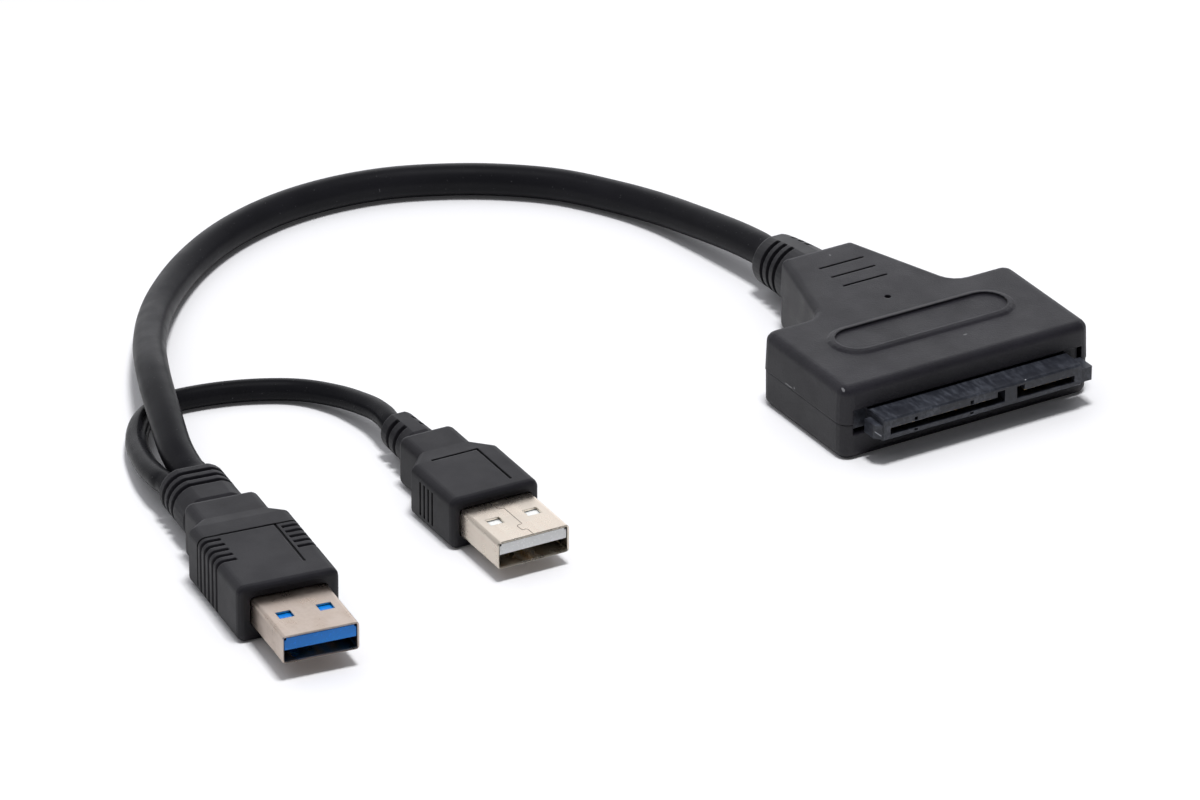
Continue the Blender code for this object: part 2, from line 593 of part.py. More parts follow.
def build_receptacle(root, material):
    """The drive receptacle: a nose with two keyed slots, guide arms, and a flange in the window."""
    nose = box((-NOSE_HALF_WIDTH, NOSE_HALF_WIDTH), (NOSE_FRONT, RECEPTACLE_BACK), (NOSE_BOTTOM, NOSE_TOP))
    front_edges = [edge for edge in nose.edges if all(vert.co.y < FRONT for vert in edge.verts)
                   and abs(edge.verts[0].co.z - edge.verts[1].co.z) < NOSE_BEVEL]
    bmesh.ops.bevel(nose, geom=front_edges, offset=NOSE_BEVEL, segments=1, affect="EDGES")
    body = add_object("sata_receptacle_body", nose, root, material)

    flange = box((-FLANGE_HALF_WIDTH, FLANGE_HALF_WIDTH),
                 (FRONT + FLANGE_SETBACK, RECEPTACLE_BACK - SEAM_GAP), (EAR_BOTTOM, FLANGE_TOP))
    boolean(body, add_object("flange_tool", flange, root), "UNION")

    tip, arm_root = NOSE_FRONT + ARM_SETBACK, FRONT - SEAT_GAP
    bottom = NOSE_BOTTOM + ARM_LIFT
    inner = NOSE_HALF_WIDTH - ARM_OVERLAP
    arms = []
    for side, reach, chamfer in zip((-1, 1), ARM_REACH, ARM_CHAMFER):
        outer = NOSE_HALF_WIDTH + reach
        outline = [(inner, arm_root), (inner, tip), (outer - chamfer, tip),
                   (outer, tip + chamfer), (outer, arm_root)]
        arms.append(prism([(side * x, y) for x, y in outline], (bottom, bottom + ARM_THICKNESS)))
    boolean(body, add_object("arm_tool", merge(arms), root), "UNION")

    slot_back = NOSE_FRONT + SLOT_DEPTH
    cutters = []
    for slot, key_on_right in ((POWER_SLOT, True), (SIGNAL_SLOT, False)):
        outline = slot_outline(slot, key_on_right)
        cutters.append(prism_along_y(outline, (NOSE_FRONT - CUT_OVERRUN, slot_back)))
    for i in range(PIT_COUNT):
        middle = POWER_SLOT[0] + FIRST_PIT + i * PIT_SPACING
        for bottom, height in ((SLOT_TOP + SEAM_GAP, PIT_SIZE),
                               (SLOT_BOTTOM - SEAM_GAP - PIT_SIZE / 2, PIT_SIZE / 2)):
            cutters.append(box((middle - PIT_SIZE / 2, middle + PIT_SIZE / 2),
                               (NOSE_FRONT - CUT_OVERRUN, NOSE_FRONT + PIT_SIZE), (bottom, bottom + height)))
    boolean(body, add_object("slot_cutter", merge(cutters), root), "DIFFERENCE")

    passages = []
    bottom = CONTACT_HEIGHT - CONTACT_THICKNESS / 2 - SEAM_GAP
    for left, right in (POWER_SLOT, SIGNAL_SLOT):
        passages.append(box((left + SEAT_GAP, right - SEAT_GAP),
                            (slot_back - CUT_OVERRUN, RECEPTACLE_BACK + CUT_OVERRUN),
                            (bottom, SLOT_TOP - SEAM_GAP)))
    boolean(body, add_object("passage_cutter", merge(passages), root), "DIFFERENCE")


def contact_strip(x, centre_line, width, thickness):
    """A flat spring: a centre line in the YZ plane with a thickness, drawn out across X."""
    half = thickness / 2
    outline = [(y, z - half) for y, z in centre_line] + [(y, z + half) for y, z in reversed(centre_line)]
    return loft([[Vector((x + side * width / 2, y, z)) for y, z in outline] for side in (-1, 1)])


def build_drive_contacts(root, material):
    tip, height = NOSE_FRONT + CONTACT_SETBACK, CONTACT_HEIGHT
    line = [(tip + run * CONTACT_BOW_LENGTH, height - dip * CONTACT_DIP) for run, dip in CONTACT_BOW]
    line.append((RECEPTACLE_BACK + CONTACT_TAIL, height))
    rows = (("power", POWER_CONTACTS, (POWER_SLOT[0] + POWER_SLOT[1] - KEY_WIDTH) / 2),
            ("signal", SIGNAL_CONTACTS, (SIGNAL_SLOT[0] + KEY_WIDTH + SIGNAL_SLOT[1]) / 2))
    for row, count, middle in rows:
        for i in range(count):
            x = middle + (i - (count - 1) / 2) * CONTACT_PITCH
            strip = contact_strip(x, line, CONTACT_WIDTH, CONTACT_THICKNESS)
            add_object(f"sata_{row}_contact_{i + 1:02d}", strip, root, material)


def build_board(root, materials):
    half = BOARD_HALF_WIDTH
    left, right = NECK_OFFSET - BOARD_TONGUE_HALF_WIDTH, NECK_OFFSET + BOARD_TONGUE_HALF_WIDTH
    outline = [(-half, BOARD_FRONT), (half, BOARD_FRONT), (half, BOARD_BACK), (right, BOARD_BACK),
               (right, BOARD_TONGUE_BACK), (left, BOARD_TONGUE_BACK), (left, BOARD_BACK), (-half, BOARD_BACK)]
    add_object("circuit_board", prism(outline, (BOARD_BOTTOM, BOARD_TOP)), root, materials["board"])
    for name, size, centre, colour in (("bridge_chip", BRIDGE_CHIP_SIZE, BRIDGE_CHIP_AT, "black"),
                                       ("crystal", CRYSTAL_SIZE, CRYSTAL_AT, "nickel"),
                                       ("regulator_chip", REGULATOR_SIZE, REGULATOR_AT, "black"),
                                       ("status_lamp", LAMP_SIZE, LAMP_AT, "white")):
        add_object(name, centred_box(size, centre, BOARD_TOP + SEAT_GAP), root, materials[colour])


def arc_quadrant(half_width, half_height, radius, inner, steps):
    """A quarter of a rounded section: two points on its flat or crown, then its corner arc."""
    def crown(x):
        beyond = x - (half_width - radius)
        if beyond <= 0:
            return half_height
        return half_height - radius + math.sqrt(max(radius * radius - beyond * beyond, 0.0))
    points = [(inner, crown(inner)), (inner + GROOVE_RAMP, crown(inner + GROOVE_RAMP))]
    beyond = inner + GROOVE_RAMP - (half_width - radius)
    first = 0.0 if beyond <= 0 else math.asin(min(beyond / radius, 1.0)) + CROWN_STEP
    for i in range(steps + 1):
        angle = first + (math.pi / 2 - first) * i / steps
        points.append((half_width - radius + radius * math.sin(angle),
                       half_height - radius + radius * math.cos(angle)))
    return points


def section(y, half_width, half_height, radius, inner, centre_z, groove=0.0, full=False, steps=5):
    """One ring of an overmould or strain relief.

    A groove sinks every point, or only those outside the smooth strip of half-width inner.
    """
    outer = arc_quadrant(half_width, half_height, radius, inner, steps)
    if groove:
        sunk_radius = max(radius - groove, SMALLEST_RADIUS)
        sunk = arc_quadrant(half_width - groove, half_height - groove, sunk_radius, inner, steps)
        outer = sunk if full else [outer[0]] + sunk[1:]
    back = outer[::-1]
    ring = back + [(-x, z) for x, z in outer]
    ring += [(-x, -z) for x, z in back] + [(x, -z) for x, z in outer]
    return [Vector((x, y, centre_z + z)) for x, z in ring]


def grooved_loft(stations, grooves, width, depth, full, inner, centre_z, steps=5):
    """Rings through stations (y, half_width, half_height, radius), with grooves at given places.

    A groove's own rings take their size from the straight line between the stations beside it.
    """
    def size_at(y):
        for low, high in zip(stations, stations[1:]):
            if low[0] <= y <= high[0] and high[0] > low[0]:
                share = (y - low[0]) / (high[0] - low[0])
                return [a + (b - a) * share for a, b in zip(low[1:], high[1:])]
        return list(stations[-1][1:])
    rows = [(station[0], list(station[1:]), 0.0) for station in stations]
    for middle in grooves:
        for offset, sink in ((-width / 2, 0.0), (-width / 2 + GROOVE_RAMP, depth),
                             (width / 2 - GROOVE_RAMP, depth), (width / 2, 0.0)):
            rows.append((middle + offset, size_at(middle + offset), sink))
    rows.sort(key=lambda row: row[0])
    return [section(y, *size, inner, centre_z, sink, full, steps) for y, size, sink in rows]


def rounded_end(y, half_width, half_height, corner, edge, opens, steps=3):
    """Stations that round the edge of an end face; the face is at y and the body runs from there."""
    stations = []
    for i in range(steps + 1):
        angle = math.pi / 2 * i / steps
        inset = edge * (1 - math.sin(angle))
        run = edge * (1 - math.cos(angle))
        stations.append((y + run if opens else y - run, half_width - inset, half_height - inset,
                         max(corner - inset, SMALLEST_RADIUS)))
    return stations if opens else stations[::-1]


def round_station(y, radius):
    return (y, radius, radius, radius * NEARLY_ROUND)


def groove_places(first, pitch, count):
    return [first + i * pitch for i in range(count)]


def build_strain_relief(root, material):
    """Round grommet: a flange and a waist in the neck's end wall, and a tapered grooved boot."""
    boot_start = NECK_END + SEAT_GAP
    stations = [round_station(RELIEF_FLANGE_END - RELIEF_FLANGE_THICKNESS, RELIEF_FLANGE_RADIUS),
                round_station(RELIEF_FLANGE_END, RELIEF_FLANGE_RADIUS),
                round_station(RELIEF_FLANGE_END + SEAM_GAP, RELIEF_WAIST_RADIUS),
                round_station(boot_start, RELIEF_WAIST_RADIUS),
                round_station(boot_start + SEAM_GAP, RELIEF_ROOT_RADIUS)]
    stations += rounded_end(RELIEF_END, RELIEF_TIP_RADIUS, RELIEF_TIP_RADIUS,
                            RELIEF_TIP_RADIUS * NEARLY_ROUND, BOOT_EDGE_RADIUS, opens=False)
    grooves = groove_places(NECK_END + RELIEF_GROOVE_FIRST, RELIEF_GROOVE_PITCH, RELIEF_GROOVE_COUNT)
    rings = grooved_loft(stations, grooves, RELIEF_GROOVE_WIDTH, RELIEF_GROOVE_DEPTH, False,
                         RELIEF_STRIP_HALF, RELIEF_CENTRE[1], steps=7)
    for ring in rings:
        share = (max(ring[0].y - NECK_END, 0.0) / RELIEF_LENGTH) ** 2
        for point in ring:
            point.x += share * RELIEF_DROOP[0]
            point.z += share * RELIEF_DROOP[1]
    relief = add_object("head_strain_relief", loft(rings), root, material, math.radians(40))
    relief.location.x = RELIEF_CENTRE[0]


def smooth_route(points, spacing):
    """Points a given distance apart on a Catmull-Rom curve through the route's points."""
    route = [Vector(point) for point in points]
    padded = [2 * route[0] - route[1]] + route + [2 * route[-1] - route[-2]]
    dense = []
    for i in range(1, len(padded) - 2):
        a, b, c, d = padded[i - 1:i + 3]
        for step in range(40):
            t = step / 40
            dense.append(0.5 * (2 * b + (c - a) * t + (2 * a - 5 * b + 4 * c - d) * t * t
                                + (3 * b - a - 3 * c + d) * t * t * t))
    dense.append(route[-1])
    lengths = [0.0]
    for start, end in zip(dense, dense[1:]):
        lengths.append(lengths[-1] + (end - start).length)
    count = max(2, round(lengths[-1] / spacing))
    result = []
    index = 0
    for i in range(count + 1):
        target = lengths[-1] * i / count
        while index < len(lengths) - 2 and lengths[index + 1] < target:
            index += 1
        share = (target - lengths[index]) / max(lengths[index + 1] - lengths[index], 1e-12)
        result.append(dense[index].lerp(dense[index + 1], min(max(share, 0.0), 1.0)))
    return result


def build_tube(name, points, diameter, resolution, parent, material):
    curve = bpy.data.curves.new(name, "CURVE")
    curve.dimensions = "3D"
    curve.bevel_depth = diameter / 2
    curve.bevel_resolution = resolution
    curve.use_fill_caps = True
    curve.render_resolution_u = 0
    spline = curve.splines.new("POLY")
    spline.points.add(len(points) - 1)
    for spot, point in zip(spline.points, points):
        spot.co = (point[0], point[1], point[2], 1.0)
    curve.materials.append(material)
    item = bpy.data.objects.new(name, curve)
    bpy.context.collection.objects.link(item)
    item.parent = parent
    return item


def build_cores(root, materials):
    """The thick cord's insulated cores, from the strain relief to the board's tongue."""
    start_y = RELIEF_FLANGE_END - RELIEF_FLANGE_THICKNESS - SEAT_GAP
    end_height = BOARD_TOP + SEAT_GAP + CORE_DIAMETER / 2
    for i, colour in enumerate(("red", "white", "board", "black", "blue", "gold")):
        spread = i - (CORE_COUNT - 1) / 2
        start = Vector((NECK_OFFSET + spread * CORE_BUNDLE_PITCH, start_y, RELIEF_CENTRE[1]))
        end = Vector((NECK_OFFSET + spread * CORE_PITCH, BOARD_TONGUE_BACK - CORE_LAP, end_height))
        points = []
        for step in range(CORE_STEPS + 1):
            share = step / CORE_STEPS
            ease = share * share * (3 - 2 * share)
            points.append((start.x + (end.x - start.x) * ease, start.y + (end.y - start.y) * share,
                           start.z + (end.z - start.z) * ease))
        build_tube(f"cord_core_{i + 1}", points, CORE_DIAMETER, 2, root, materials[colour])


def shell_ring(y, inset):
    """The USB shell's section, inset from its outer faces."""
    corner = max(SHELL_CORNER - inset, SMALLEST_RADIUS)
    return section(y, SHELL_WIDTH / 2 - inset, SHELL_HEIGHT / 2 - inset, corner, HOLE_X, 0.0, steps=3)


def build_metal_shell(prefix, mould_front, empty, material):
    """A folded sheet tube, open at both ends, with two latch holes above and two below."""
    back = mould_front + SHELL_IN_MOULD
    rows = [shell_ring(0.0, SHELL_LEAD_IN / 2), shell_ring(SHELL_LEAD_IN, 0.0), shell_ring(back, 0.0),
            shell_ring(back, SHELL_METAL), shell_ring(SHELL_LEAD_IN, SHELL_METAL)]
    mesh_data = bmesh.new()
    verts = [[mesh_data.verts.new(point) for point in ring] for ring in rows]
    for low, high in zip(verts, verts[1:] + verts[:1]):
        for i in range(len(low)):
            j = (i + 1) % len(low)
            mesh_data.faces.new((low[i], low[j], high[j], high[i]))
    shell = add_object(f"{prefix}_shell", mesh_data, empty, material, math.radians(35))
    holes = []
    ys = (HOLE_Y - HOLE_SIZE[1] / 2, HOLE_Y + HOLE_SIZE[1] / 2)
    for x in (-HOLE_X, HOLE_X):
        for z in (-SHELL_HEIGHT / 2, SHELL_HEIGHT / 2):
            holes.append(box((x - HOLE_SIZE[0] / 2, x + HOLE_SIZE[0] / 2), ys,
                             (z - 2 * SHELL_METAL, z + 2 * SHELL_METAL)))
    boolean(shell, add_object(f"{prefix}_hole_cutter", merge(holes), empty), "DIFFERENCE")


def build_insulator(prefix, mould_front, tongue, empty, material):
    """The moulded tongue along the top of the mouth, and the block behind it that carries the pins."""
    half_width = SHELL_WIDTH / 2 - SHELL_METAL - SEAM_GAP
    top = SHELL_HEIGHT / 2 - SHELL_METAL - SEAM_GAP
    bottom = -top
    front, back = INSULATOR_RECESS, mould_front + SHELL_IN_MOULD - SEAT_GAP
    profile = [(front, top - tongue), (TONGUE_BACK, top - tongue), (TONGUE_BACK, bottom),
               (back, bottom), (back, top), (front, top)]
    solid = loft([[Vector((side * half_width, y, z)) for y, z in profile] for side in (-1, 1)])
    top_edges = [edge for edge in solid.edges if edge.calc_length() > TONGUE_BACK
                 and all(vert.co.z > top - INSULATOR_BEVEL for vert in edge.verts)
                 and abs(edge.verts[0].co.y - edge.verts[1].co.y) > TONGUE_BACK]
    bmesh.ops.bevel(solid, geom=top_edges, offset=INSULATOR_BEVEL, segments=2, affect="EDGES")
    add_object(f"{prefix}_insulator", solid, empty, material)
    return top - tongue


def build_pins(prefix, xs, width, y_range, tongue_bottom, bow, empty, material):
    """Contacts under the tongue: flat pads, or short springs with a bow."""
    height = tongue_bottom - SEAM_GAP - PIN_THICKNESS / 2
    start, end = y_range
    line = [(start, height), (end, height)]
    if bow:
        line.insert(1, (start + bow, height - bow))
    for i, x in enumerate(xs):
        strip = contact_strip(x, line, width, PIN_THICKNESS)
        add_object(f"{prefix}_contact_{i + 1}", strip, empty, material)


def mould_pocket(mould_front):
    """The pocket in an overmould's front that holds the metal shell."""
    ys = (mould_front - CUT_OVERRUN, mould_front + SHELL_IN_MOULD + SEAT_GAP)
    return loft([shell_ring(y, -SEAM_GAP) for y in ys])


def top_line_cutter(outline, top):
    """Cutter for a shallow groove in the top face of an overmould."""
    return prism(outline, (top - PANEL_LINE_DEPTH, top + CUT_OVERRUN))


def mould_stations(front, body, shoulder, neck, half_width, neck_half_width, half_height):
    """Stations of an overmould's body, shoulder and neck."""
    body_end, neck_end = front + body, front + body + shoulder + neck
    neck_half_height = half_height - NECK_STEP
    stations = rounded_end(front, half_width, half_height, MOULD_CORNER, MOULD_EDGE_RADIUS, opens=True)
    stations += [(body_end, half_width, half_height, MOULD_CORNER),
                 (body_end + shoulder, neck_half_width, neck_half_height, MOULD_CORNER)]
    return stations + rounded_end(neck_end, neck_half_width, neck_half_height, MOULD_CORNER,
                                  MOULD_EDGE_RADIUS, opens=False)


def build_mould3(empty, material):
    """The USB 3 plug's overmould: gripped body, shoulder, neck and an oval boot for both cords."""
    stations = mould_stations(MOULD3_FRONT, MOULD3_BODY, MOULD3_SHOULDER, NECK3_LENGTH,
                              MOULD3_HALF_WIDTH, NECK3_HALF_WIDTH, MOULD3_HALF_HEIGHT)
    corner = BOOT3_HALF_HEIGHT * NEARLY_ROUND
    root_y = NECK3_END + BOOT_ROOT_GAP
    stations += [(root_y, BOOT3_HALF_WIDTH - BOOT_EDGE_RADIUS, BOOT3_HALF_HEIGHT - BOOT_EDGE_RADIUS,
                  corner - BOOT_EDGE_RADIUS),
                 (root_y + BOOT_ROOT_RISE, BOOT3_HALF_WIDTH, BOOT3_HALF_HEIGHT, corner)]
    stations += rounded_end(BOOT3_END, BOOT3_HALF_WIDTH, BOOT3_HALF_HEIGHT, corner,
                            BOOT_EDGE_RADIUS, opens=False)
    body_end = MOULD3_FRONT + MOULD3_BODY
    body = [station for station in stations if station[0] <= body_end]
    rest = [station for station in stations if station[0] >= body_end]
    grips = groove_places(MOULD3_FRONT + GRIP3_SETBACK, GRIP3_PITCH, GRIP3_COUNT)
    boot_grooves = groove_places(NECK3_END + BOOT3_GROOVE_FIRST, BOOT3_GROOVE_PITCH, BOOT3_GROOVE_COUNT)
    rings = grooved_loft(body, grips, GRIP3_WIDTH, GRIP3_DEPTH, False, GRIP3_INNER, -MOULD3_SINK)
    rings += grooved_loft(rest, boot_grooves, BOOT_GROOVE_WIDTH, BOOT_GROOVE_DEPTH, True,
                          BOOT3_CROWN_INNER, -MOULD3_SINK)[1:]
    mould = add_object("usb3_overmould", loft(rings), empty, material, math.radians(35))

    rear, front = grips[-1] + PANEL3_REAR_GAP, MOULD3_FRONT + PANEL3_FRONT
    half, line = GRIP3_INNER - PANEL_LINE_WIDTH, PANEL_LINE_WIDTH
    panel = [(-half, rear), (half - line, rear), (half - line, front), (half, front),
             (half, rear + line), (-half, rear + line)]
    top = MOULD3_HALF_HEIGHT - MOULD3_SINK
    cutters = [mould_pocket(MOULD3_FRONT), top_line_cutter(panel, top)]
    boolean(mould, add_object("usb3_mould_cutter", merge(cutters), empty), "DIFFERENCE")


def build_mould2(empty, material):
    """The USB 2 plug's overmould: side grooves, shoulder, neck and a round boot for the thin cord."""
    stations = mould_stations(MOULD2_FRONT, MOULD2_BODY, MOULD2_SHOULDER, NECK2_LENGTH,
                              MOULD2_HALF_WIDTH, NECK2_HALF_WIDTH, MOULD2_HALF_HEIGHT)
    root_y = NECK2_END + BOOT_ROOT_GAP
    stations += [round_station(root_y, BOOT2_TIP_RADIUS),
                 round_station(root_y + BOOT_ROOT_RISE, BOOT2_TIP_RADIUS + BOOT2_SWELL)]
    stations += rounded_end(BOOT2_END, BOOT2_TIP_RADIUS, BOOT2_TIP_RADIUS,
                            BOOT2_TIP_RADIUS * NEARLY_ROUND, BOOT_EDGE_RADIUS, opens=False)
    grooves = groove_places(NECK2_END + BOOT2_GROOVE_FIRST, BOOT2_GROOVE_PITCH, BOOT2_GROOVE_COUNT)
    rings = grooved_loft(stations, grooves, BOOT_GROOVE_WIDTH, BOOT_GROOVE_DEPTH, False,
                         BOOT2_STRIP_HALF, -MOULD2_SINK)
    mould = add_object("usb2_overmould", loft(rings), empty, material, math.radians(35))

    half, line = PANEL2_HALF_WIDTH, PANEL_LINE_WIDTH
    rear, front = MOULD2_FRONT + PANEL2_BACK, MOULD2_FRONT + PANEL2_FRONT
    panel = [(-half, rear - line), (half - line, rear - line), (half - line, front), (half, front),
             (half, rear), (-half, rear)]
    top = MOULD2_HALF_HEIGHT - MOULD2_SINK
    cutters = [mould_pocket(MOULD2_FRONT), top_line_cutter(panel, top)]
    inner, outer = MOULD2_HALF_WIDTH - SIDE_GROOVE_DEPTH, MOULD2_HALF_WIDTH + CUT_OVERRUN
    heights = (-MOULD2_SINK - SIDE_GROOVE_HALF_HEIGHT, -MOULD2_SINK + SIDE_GROOVE_HALF_HEIGHT)
    for y in groove_places(MOULD2_FRONT + SIDE_GROOVE_SETBACK, SIDE_GROOVE_PITCH, SIDE_GROOVE_COUNT):
        for xs in ((-outer, -inner), (inner, outer)):
            cutters.append(box(xs, (y - SIDE_GROOVE_WIDTH / 2, y + SIDE_GROOVE_WIDTH / 2), heights))
    boolean(mould, add_object("usb2_mould_cutter", merge(cutters), empty), "DIFFERENCE")


def build_plug3(root, materials):
    empty = make_empty("usb3_plug", (*PLUG3_AT, PLUG3_AXIS_HEIGHT), PLUG3_YAW, root)
    gold = materials["gold"]
    build_mould3(empty, materials["black"])
    build_metal_shell("usb3", MOULD3_FRONT, empty, materials["nickel"])
    tongue_bottom = build_insulator("usb3", MOULD3_FRONT, PLUG3_TONGUE, empty, materials["blue"])
    pin_back = PIN_FRONT + PIN3_LENGTH
    build_pins("usb3", PIN_XS, PIN_WIDTH, (PIN_FRONT, pin_back), tongue_bottom, 0.0, empty, gold)
    fast_xs = [(i - (FAST_PIN_COUNT - 1) / 2) * FAST_PIN_PITCH for i in range(FAST_PIN_COUNT)]
    build_pins("usb3_fast", fast_xs, FAST_PIN_WIDTH, (pin_back + FAST_PIN_GAP, TONGUE_BACK - SEAT_GAP),
               tongue_bottom, FAST_PIN_BOW, empty, gold)


def build_plug2(root, materials):
    empty = make_empty("usb2_plug", (*PLUG2_AT, PLUG2_AXIS_HEIGHT), PLUG2_YAW, root)
    build_mould2(empty, materials["black"])
    build_metal_shell("usb2", MOULD2_FRONT, empty, materials["nickel"])
    tongue_bottom = build_insulator("usb2", MOULD2_FRONT, PLUG2_TONGUE, empty, materials["white"])
    build_pins("usb2", PIN_XS, PIN_WIDTH, (PIN_FRONT, TONGUE_BACK - SEAT_GAP), tongue_bottom, 0.0,
               empty, materials["gold"])


def plug_point(at, yaw, height, across, back):
    """A point at a height, from its distance across a plug and back from its mouth."""
    return (at[0] + across * math.cos(yaw) - back * math.sin(yaw),
            at[1] + across * math.sin(yaw) + back * math.cos(yaw), height)


def build_cord(name, start, route, end, diameter, resolution, root, material):
    """A cord along its route; each end is a pair of points that hold it square to its boot."""
    middle = [start[1]] + [(x * MM, y * MM, z * MM) for x, y, z in route] + [end[0]]
    points = [start[0]] + smooth_route(middle, diameter / POINTS_PER_DIAMETER) + [end[1]]
    build_tube(name, points, diameter, resolution, root, material)


def build_cords(root, material):
    x, z = RELIEF_CENTRE[0] + RELIEF_DROOP[0], RELIEF_CENTRE[1] + RELIEF_DROOP[1]
    relief = [(x, RELIEF_END + reach, z) for reach in (SEAT_GAP, SEAT_GAP + CORD_LEAD)]
    backs = (BOOT3_END + SEAT_GAP, BOOT3_END + SEAT_GAP + CORD_LEAD)
    height3, height2 = PLUG3_AXIS_HEIGHT - MOULD3_SINK, PLUG2_AXIS_HEIGHT - MOULD2_SINK
    main3, power3 = [[plug_point(PLUG3_AT, PLUG3_YAW, height3, side, back) for back in backs]
                     for side in (BOOT3_MAIN_SIDE, BOOT3_POWER_SIDE)]
    backs = (BOOT2_END + SEAT_GAP, BOOT2_END + SEAT_GAP + CORD_LEAD)
    power2 = [plug_point(PLUG2_AT, PLUG2_YAW, height2, 0.0, back) for back in backs]
    build_cord("main_cord", relief, MAIN_ROUTE, main3[::-1], MAIN_CORD_DIAMETER, 4, root, material)
    build_cord("power_cord", power3, POWER_ROUTE, power2[::-1], POWER_CORD_DIAMETER, 2, root, material)


def main():
    clear_objects()
    materials = {
        "black": make_material("black_plastic", BLACK_PLASTIC, 0.55),
        "rubber": make_material("black_rubber", BLACK_RUBBER, 0.45),
        "slate": make_material("slate_plastic", SLATE_PLASTIC, 0.35),
        "nickel": make_material("nickel_plate", NICKEL, 0.25, 1.0),
        "gold": make_material("gold_plate", GOLD, 0.3, 1.0),
        "blue": make_material("blue_plastic", USB3_BLUE, 0.4),
        "white": make_material("white_plastic", WHITE_PLASTIC, 0.4),
        "board": make_material("board_laminate", BOARD_GREEN, 0.4),
        "red": make_material("red_insulation", COPPER_RED, 0.5),
    }
    root = make_empty("adapter", (0.0, -ORIGIN_Y, 0.0))
    build_upper_shell(root, materials["black"])
    build_lower_shell(root, materials["black"])
    build_receptacle(root, materials["slate"])
    build_drive_contacts(root, materials["gold"])
    build_board(root, materials)
    build_strain_relief(root, materials["rubber"])
    build_cores(root, materials)
    build_plug3(root, materials)
    build_plug2(root, materials)
    build_cords(root, materials["rubber"])


main()
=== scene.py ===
# A USB to SATA adapter on a pale table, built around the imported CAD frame.
import math

import bmesh
import bpy
from mathutils import Matrix, Vector


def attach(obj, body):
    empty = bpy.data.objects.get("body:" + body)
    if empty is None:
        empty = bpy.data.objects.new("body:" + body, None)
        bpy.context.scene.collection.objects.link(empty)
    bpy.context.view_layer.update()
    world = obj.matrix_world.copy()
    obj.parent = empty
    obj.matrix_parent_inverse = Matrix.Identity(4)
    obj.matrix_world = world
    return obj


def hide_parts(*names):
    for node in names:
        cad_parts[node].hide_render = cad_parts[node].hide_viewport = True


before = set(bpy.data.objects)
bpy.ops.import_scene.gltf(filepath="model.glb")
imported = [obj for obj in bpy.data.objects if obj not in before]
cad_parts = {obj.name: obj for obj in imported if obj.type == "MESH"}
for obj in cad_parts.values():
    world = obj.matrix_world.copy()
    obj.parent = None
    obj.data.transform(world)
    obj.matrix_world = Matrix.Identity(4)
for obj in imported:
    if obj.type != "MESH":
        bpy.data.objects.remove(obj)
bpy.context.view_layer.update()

MM = 0.001
ORIGIN_Y = 13.25          # the row frame's origin, measured back from the head's centre, in mm

# Camera, found by fitting the plugs' standard shells and the head's edges in the photo
CAMERA_AT = Vector((-0.67778, -1.02798, 0.64416))
CAMERA_RIGHT = Vector((0.85490, -0.51877, 0.00499))
CAMERA_UP = Vector((0.23884, 0.40210, 0.88389))
LENS = 270.0
SENSOR_WIDTH = 36.0
CAMERA_REACH = 10.0

# Cord routes, repeated from the part's source: the two ends of each, with the leads that hold it
# square to its boots, and the points between, in mm from the head's centre
MAIN_DIAMETER = 5.2
MAIN_ENDS = [[(-0.75, 42.7, 5.4), (-0.75, 44.7, 5.4)],
             [(-112.88, 26.65, 4.63), (-113.16, 24.67, 4.63)]]
MAIN_ROUTE = [
    (-1.0, 47.5, 5.4), (-1.7, 53.0, 5.0), (-2.9, 61.0, 4.1), (-4.7, 69.5, 3.25),
    (-7.8, 77.4, 2.75), (-13.4, 86.1, 2.65), (-20.8, 92.7, 2.65), (-29.0, 97.6, 2.65),
    (-38.2, 101.1, 2.65), (-48.6, 102.3, 2.65), (-59.1, 101.0, 2.65), (-69.9, 96.9, 2.65),
    (-80.1, 90.0, 2.8), (-89.8, 80.1, 3.5), (-98.0, 67.9, 5.2), (-104.2, 55.4, 6.85),
    (-108.7, 43.8, 6.65), (-111.8, 34.8, 5.7), (-112.9, 29.1, 4.9)]
POWER_DIAMETER = 3.5
POWER_ENDS = [[(-117.77, 25.32, 4.63), (-117.49, 27.30, 4.63)],
              [(-78.63, 27.72, 4.23), (-78.71, 25.72, 4.23)]]
POWER_ROUTE = [
    (-117.4, 29.9, 4.4), (-116.1, 36.3, 3.4), (-113.0, 44.7, 2.2), (-108.5, 51.1, 1.8),
    (-102.9, 54.1, 1.8), (-97.0, 53.9, 1.8), (-89.7, 51.7, 1.8), (-83.3, 47.7, 1.95),
    (-79.6, 41.6, 2.6), (-78.2, 34.8, 3.6), (-78.2, 30.5, 4.1)]
CORD_STEPS = 9            # steps from each route point to the next
CORD_ROUNDNESS = 12

# Plugs: each mouth's place and turn, in mm and degrees, and the top of the white plug's shell
USB3_AT, USB3_YAW = (-121.98, -27.31), -8.0
USB2_AT, USB2_YAW, USB2_TOP = (-80.29, -17.45), -2.1, 6.68

# Joint in the white plug's rolled shell, as points across and back from the mouth, in mm
SEAM_PATH = [
    (0.0, 0.06), (-0.05, 1.7), (-0.25, 1.95), (-0.75, 1.95), (-0.92, 2.3), (-0.98, 3.3),
    (-0.7, 3.6), (-0.2, 3.62), (0.03, 3.75), (0.0, 6.5), (-0.02, 9.1), (-0.2, 9.25),
    (-0.75, 9.25), (-0.93, 9.5), (-0.96, 11.0)]
SEAM_WIDTH, SEAM_THICKNESS, SEAM_SUNK = 0.11, 0.032, 0.02
TAB_PATH = [(-0.98, 10.75), (-0.9, 11.0), (-0.5, 11.08), (-0.1, 11.0), (0.0, 10.8)]
TAB_RADIUS, TAB_PROUD, TAB_STEPS, TAB_ROUNDNESS = 0.05, 0.03, 4, 3

